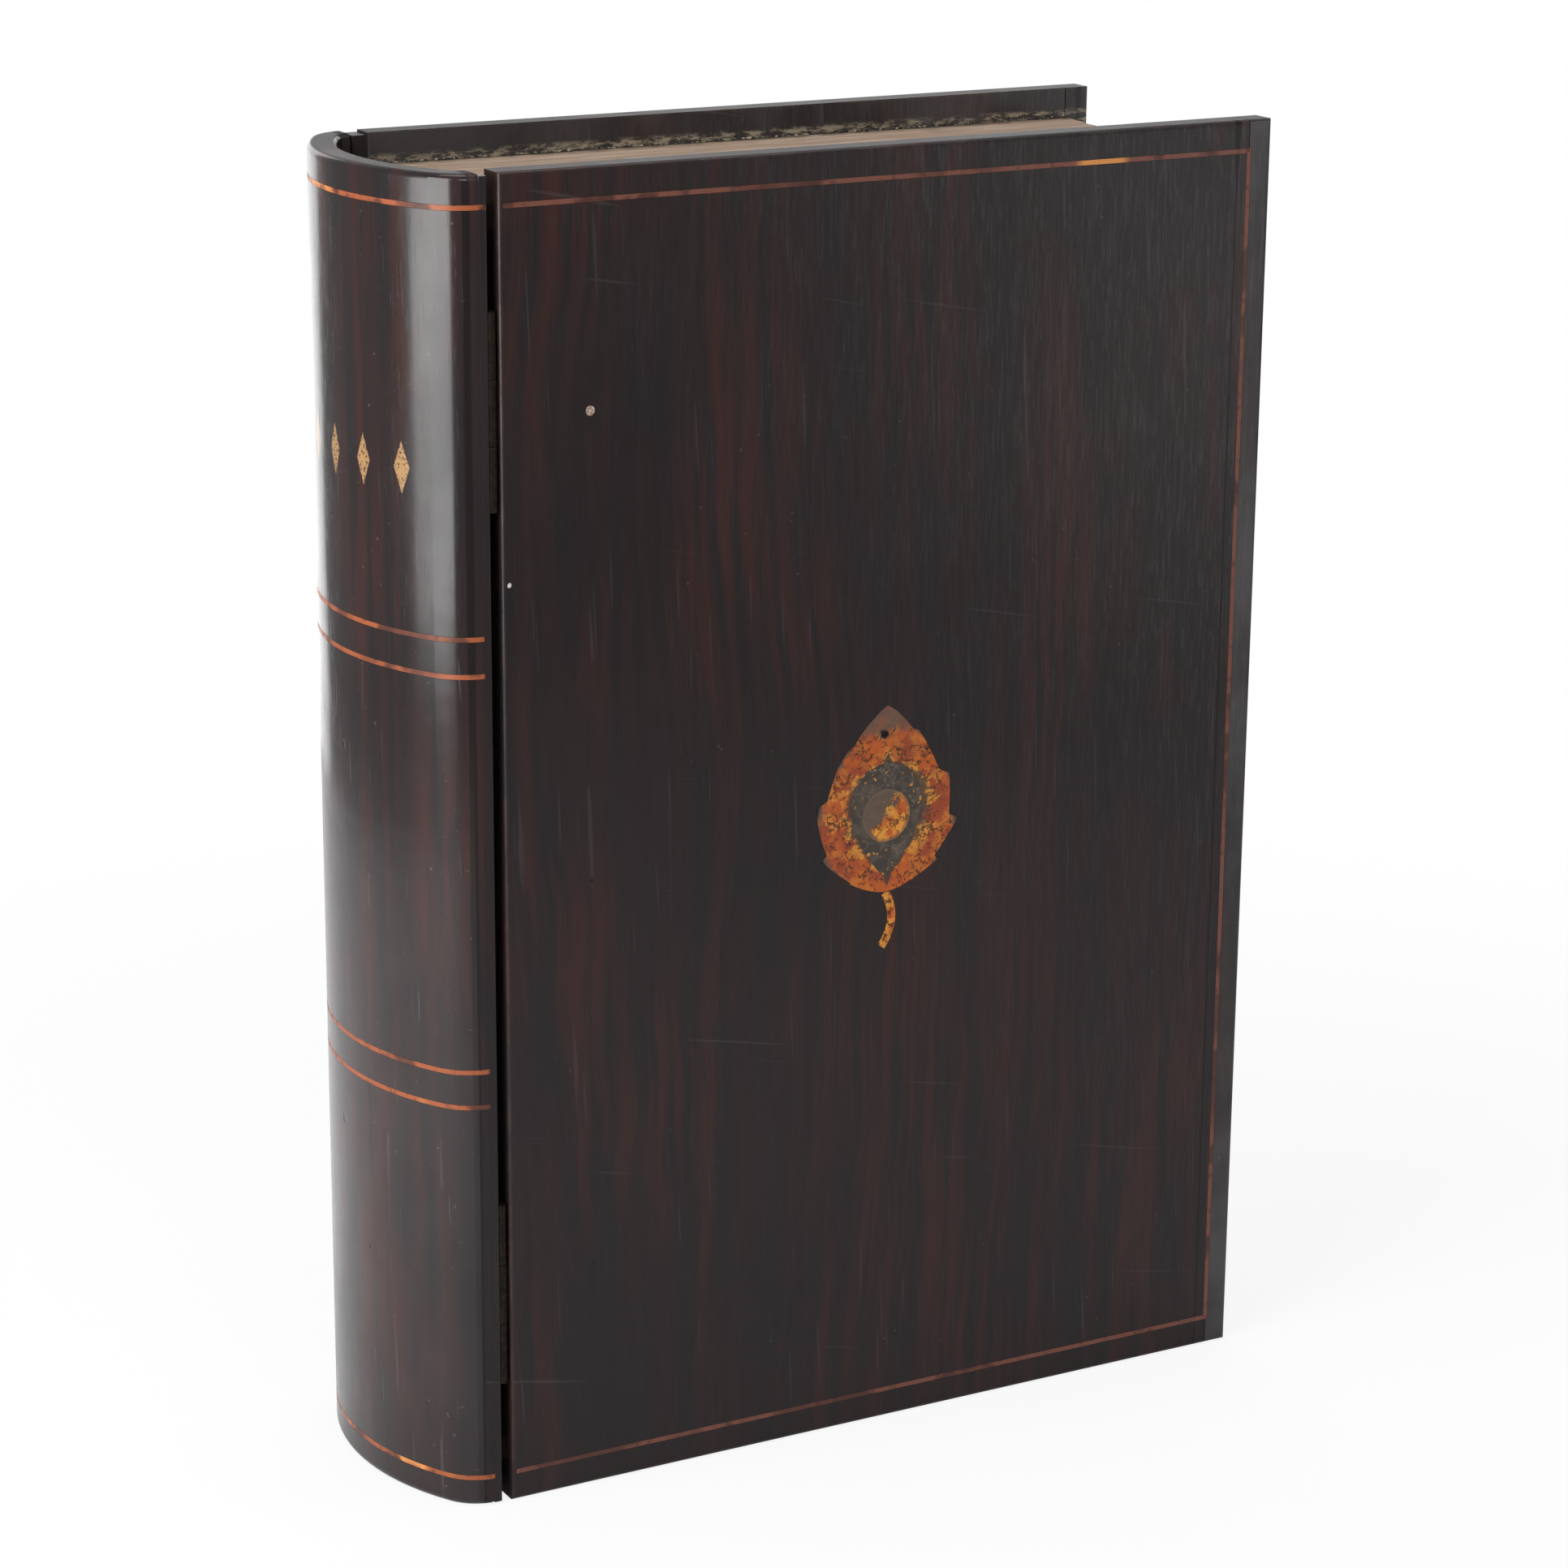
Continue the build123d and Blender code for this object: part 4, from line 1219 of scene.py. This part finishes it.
class STATIONERYBOX_OT_inside(bpy.types.Operator):
    """Finish the dividers, the linings and the hinges"""

    bl_idname = "stationerybox.inside"
    bl_label = "Finish Inside"

    def execute(self, context):
        inside = context.scene.stationerybox_inside
        dividers = cad("long_divider", "envelope_divider", "ink_well_divider", "stamp_well_divider")
        wear(dividers, divider_material(inside))
        wear(cad("case_lining", "lid_lining"), lining_material(inside))
        metals = (
            ("hinge_plate", "tarnished_hinge", inside.plate, 0.45),
            ("hinge_screws", "dull_screw", inside.screw, 0.4),
            ("hinge_pin", "dull_pin", inside.pin, 0.4),
        )
        for prefix, name, bright, roughness in metals:
            wear(cad_starting(prefix), metal_material(name, bright, inside.tarnish, roughness))
        return {"FINISHED"}


# Stage


def floor_material(stage):
    """Pale floor that is white to the camera, and keeps a faint shadow."""
    material, tree, shader, position = start_material("pale_floor")
    shader.inputs["Base Color"].default_value = stage.floor
    shader.inputs["Roughness"].default_value = 0.9
    shader.inputs["Specular IOR Level"].default_value = 0.0
    seen = tree.add("ShaderNodeLightPath")
    glow = tree.add("ShaderNodeEmission")
    blend = tree.add("ShaderNodeMixShader")
    away = tree.vector("LENGTH", position)
    share = tree.step(away, 0.3 * stage.floor_radius, 0.9 * stage.floor_radius, 0.85, 1.0)
    direct = tree.times(seen.outputs["Is Camera Ray"], share)
    tree.feed(blend.inputs[0], direct)
    tree.feed(blend.inputs[1], shader.outputs[0])
    tree.feed(blend.inputs[2], glow.outputs[0])
    output = material.node_tree.nodes["Material Output"]
    tree.feed(output.inputs["Surface"], blend.outputs[0])
    return material


def white_world(scene, strength):
    """Soft pale surroundings of a given strength, pure white to the camera."""
    world = bpy.data.worlds.new("studio")
    world.use_nodes = True
    scene.world = world
    tree = Tree(world.node_tree)
    background = world.node_tree.nodes["Background"]
    seen = tree.add("ShaderNodeLightPath").outputs["Is Camera Ray"]
    tree.feed(background.inputs["Color"], (1.0, 1.0, 1.0, 1.0))
    tree.feed(background.inputs["Strength"], tree.step(seen, 0.0, 1.0, strength, 1.0))


def soft_light(name, place, target, size, power):
    """Rectangular area light that faces a point."""
    lamp = bpy.data.lights.new(name, "AREA")
    lamp.shape = "RECTANGLE"
    lamp.size, lamp.size_y = size
    lamp.energy = power
    light = bpy.data.objects.new(name, lamp)
    light.location = place
    light.rotation_euler = (Vector(target) - Vector(place)).to_track_quat("-Z", "Y").to_euler()
    light.visible_camera = False
    bpy.context.scene.collection.objects.link(light)


def photograph_camera(scene, stage):
    """Camera at the photograph's place, built from its heading, tilt and roll."""
    ahead = Vector(
        (sin(stage.heading) * cos(stage.tilt), cos(stage.heading) * cos(stage.tilt), sin(stage.tilt))
    )
    right = ahead.cross(Vector((0.0, 0.0, 1.0))).normalized()
    up = right.cross(ahead)
    right_rolled = cos(stage.roll) * right + sin(stage.roll) * up
    up_rolled = cos(stage.roll) * up - sin(stage.roll) * right
    data = bpy.data.cameras.new("photograph")
    data.sensor_fit = "HORIZONTAL"
    data.lens = data.sensor_width * stage.focal_pixels / stage.photo_pixels
    data.clip_start = 0.01
    camera = bpy.data.objects.new("photograph", data)
    turn = Matrix((right_rolled, up_rolled, -ahead)).transposed()
    camera.matrix_world = Matrix.Translation(stage.place) @ turn.to_4x4()
    scene.collection.objects.link(camera)
    scene.camera = camera


class STATIONERYBOX_OT_stage(bpy.types.Operator):
    """Set the floor, the soft lights and the camera"""

    bl_idname = "stationerybox.stage"
    bl_label = "Set Stage"

    def execute(self, context):
        scene = context.scene
        stage = scene.stationerybox_stage
        scene.view_settings.view_transform = "Standard"
        turn = np.linspace(0.0, 2 * pi, FLOOR_SIDES, endpoint=False)
        rim = stage.floor_radius * np.stack((np.cos(turn), np.sin(turn), 0 * turn), axis=-1)
        floor = new_object("floor", rim - np.array((0.0, 0.0, FLOOR_DROP)), [list(range(FLOOR_SIDES))])
        wear([floor], floor_material(stage))
        floor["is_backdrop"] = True
        white_world(scene, stage.surroundings)
        for name, (place, target, size, power) in LAMPS.items():
            soft_light(name, place, target, size, power)
        photograph_camera(scene, stage)
        return {"FINISHED"}


class STATIONERYBOX_PT_panel(bpy.types.Panel):
    """Buttons and settings of the stationery box"""

    bl_idname = "STATIONERYBOX_PT_panel"
    bl_label = "Stationery Box"
    bl_space_type = "VIEW_3D"
    bl_region_type = "UI"
    bl_category = "Stationery Box"

    def draw(self, context):
        for settings_name, _, operators in SECTIONS:
            box = self.layout.box()
            for operator in operators:
                box.operator(operator.bl_idname)
            settings = getattr(context.scene, settings_name)
            for name in settings.__annotations__:
                box.prop(settings, name)


SECTIONS = (
    ("stationerybox_covers", CoverSettings, (STATIONERYBOX_OT_covers,)),
    ("stationerybox_ornament", OrnamentSettings, (STATIONERYBOX_OT_spine, STATIONERYBOX_OT_groove_strips)),
    ("stationerybox_pages", PageSettings, (STATIONERYBOX_OT_page_block,)),
    ("stationerybox_strings", StringingSettings, (STATIONERYBOX_OT_stringing,)),
    ("stationerybox_leaf", LeafSettings, (STATIONERYBOX_OT_leaf,)),
    ("stationerybox_inside", InsideSettings, (STATIONERYBOX_OT_inside,)),
    ("stationerybox_stage", StageSettings, (STATIONERYBOX_OT_stage,)),
)


def register():
    """Register the settings, the operators and the panel."""
    for settings_name, settings, operators in SECTIONS:
        bpy.utils.register_class(settings)
        setattr(bpy.types.Scene, settings_name, bpy.props.PointerProperty(type=settings))
        for operator in operators:
            bpy.utils.register_class(operator)
    bpy.utils.register_class(STATIONERYBOX_PT_panel)


def unregister():
    """Take away what register added."""
    bpy.utils.unregister_class(STATIONERYBOX_PT_panel)
    for settings_name, settings, operators in reversed(SECTIONS):
        for operator in operators:
            bpy.utils.unregister_class(operator)
        delattr(bpy.types.Scene, settings_name)
        bpy.utils.unregister_class(settings)


def main():
    """Run each operator in order."""
    register()
    for _, _, operators in SECTIONS:
        for operator in operators:
            group, name = operator.bl_idname.split(".")
            getattr(getattr(bpy.ops, group), name)()


if __name__ == "__main__":
    main()
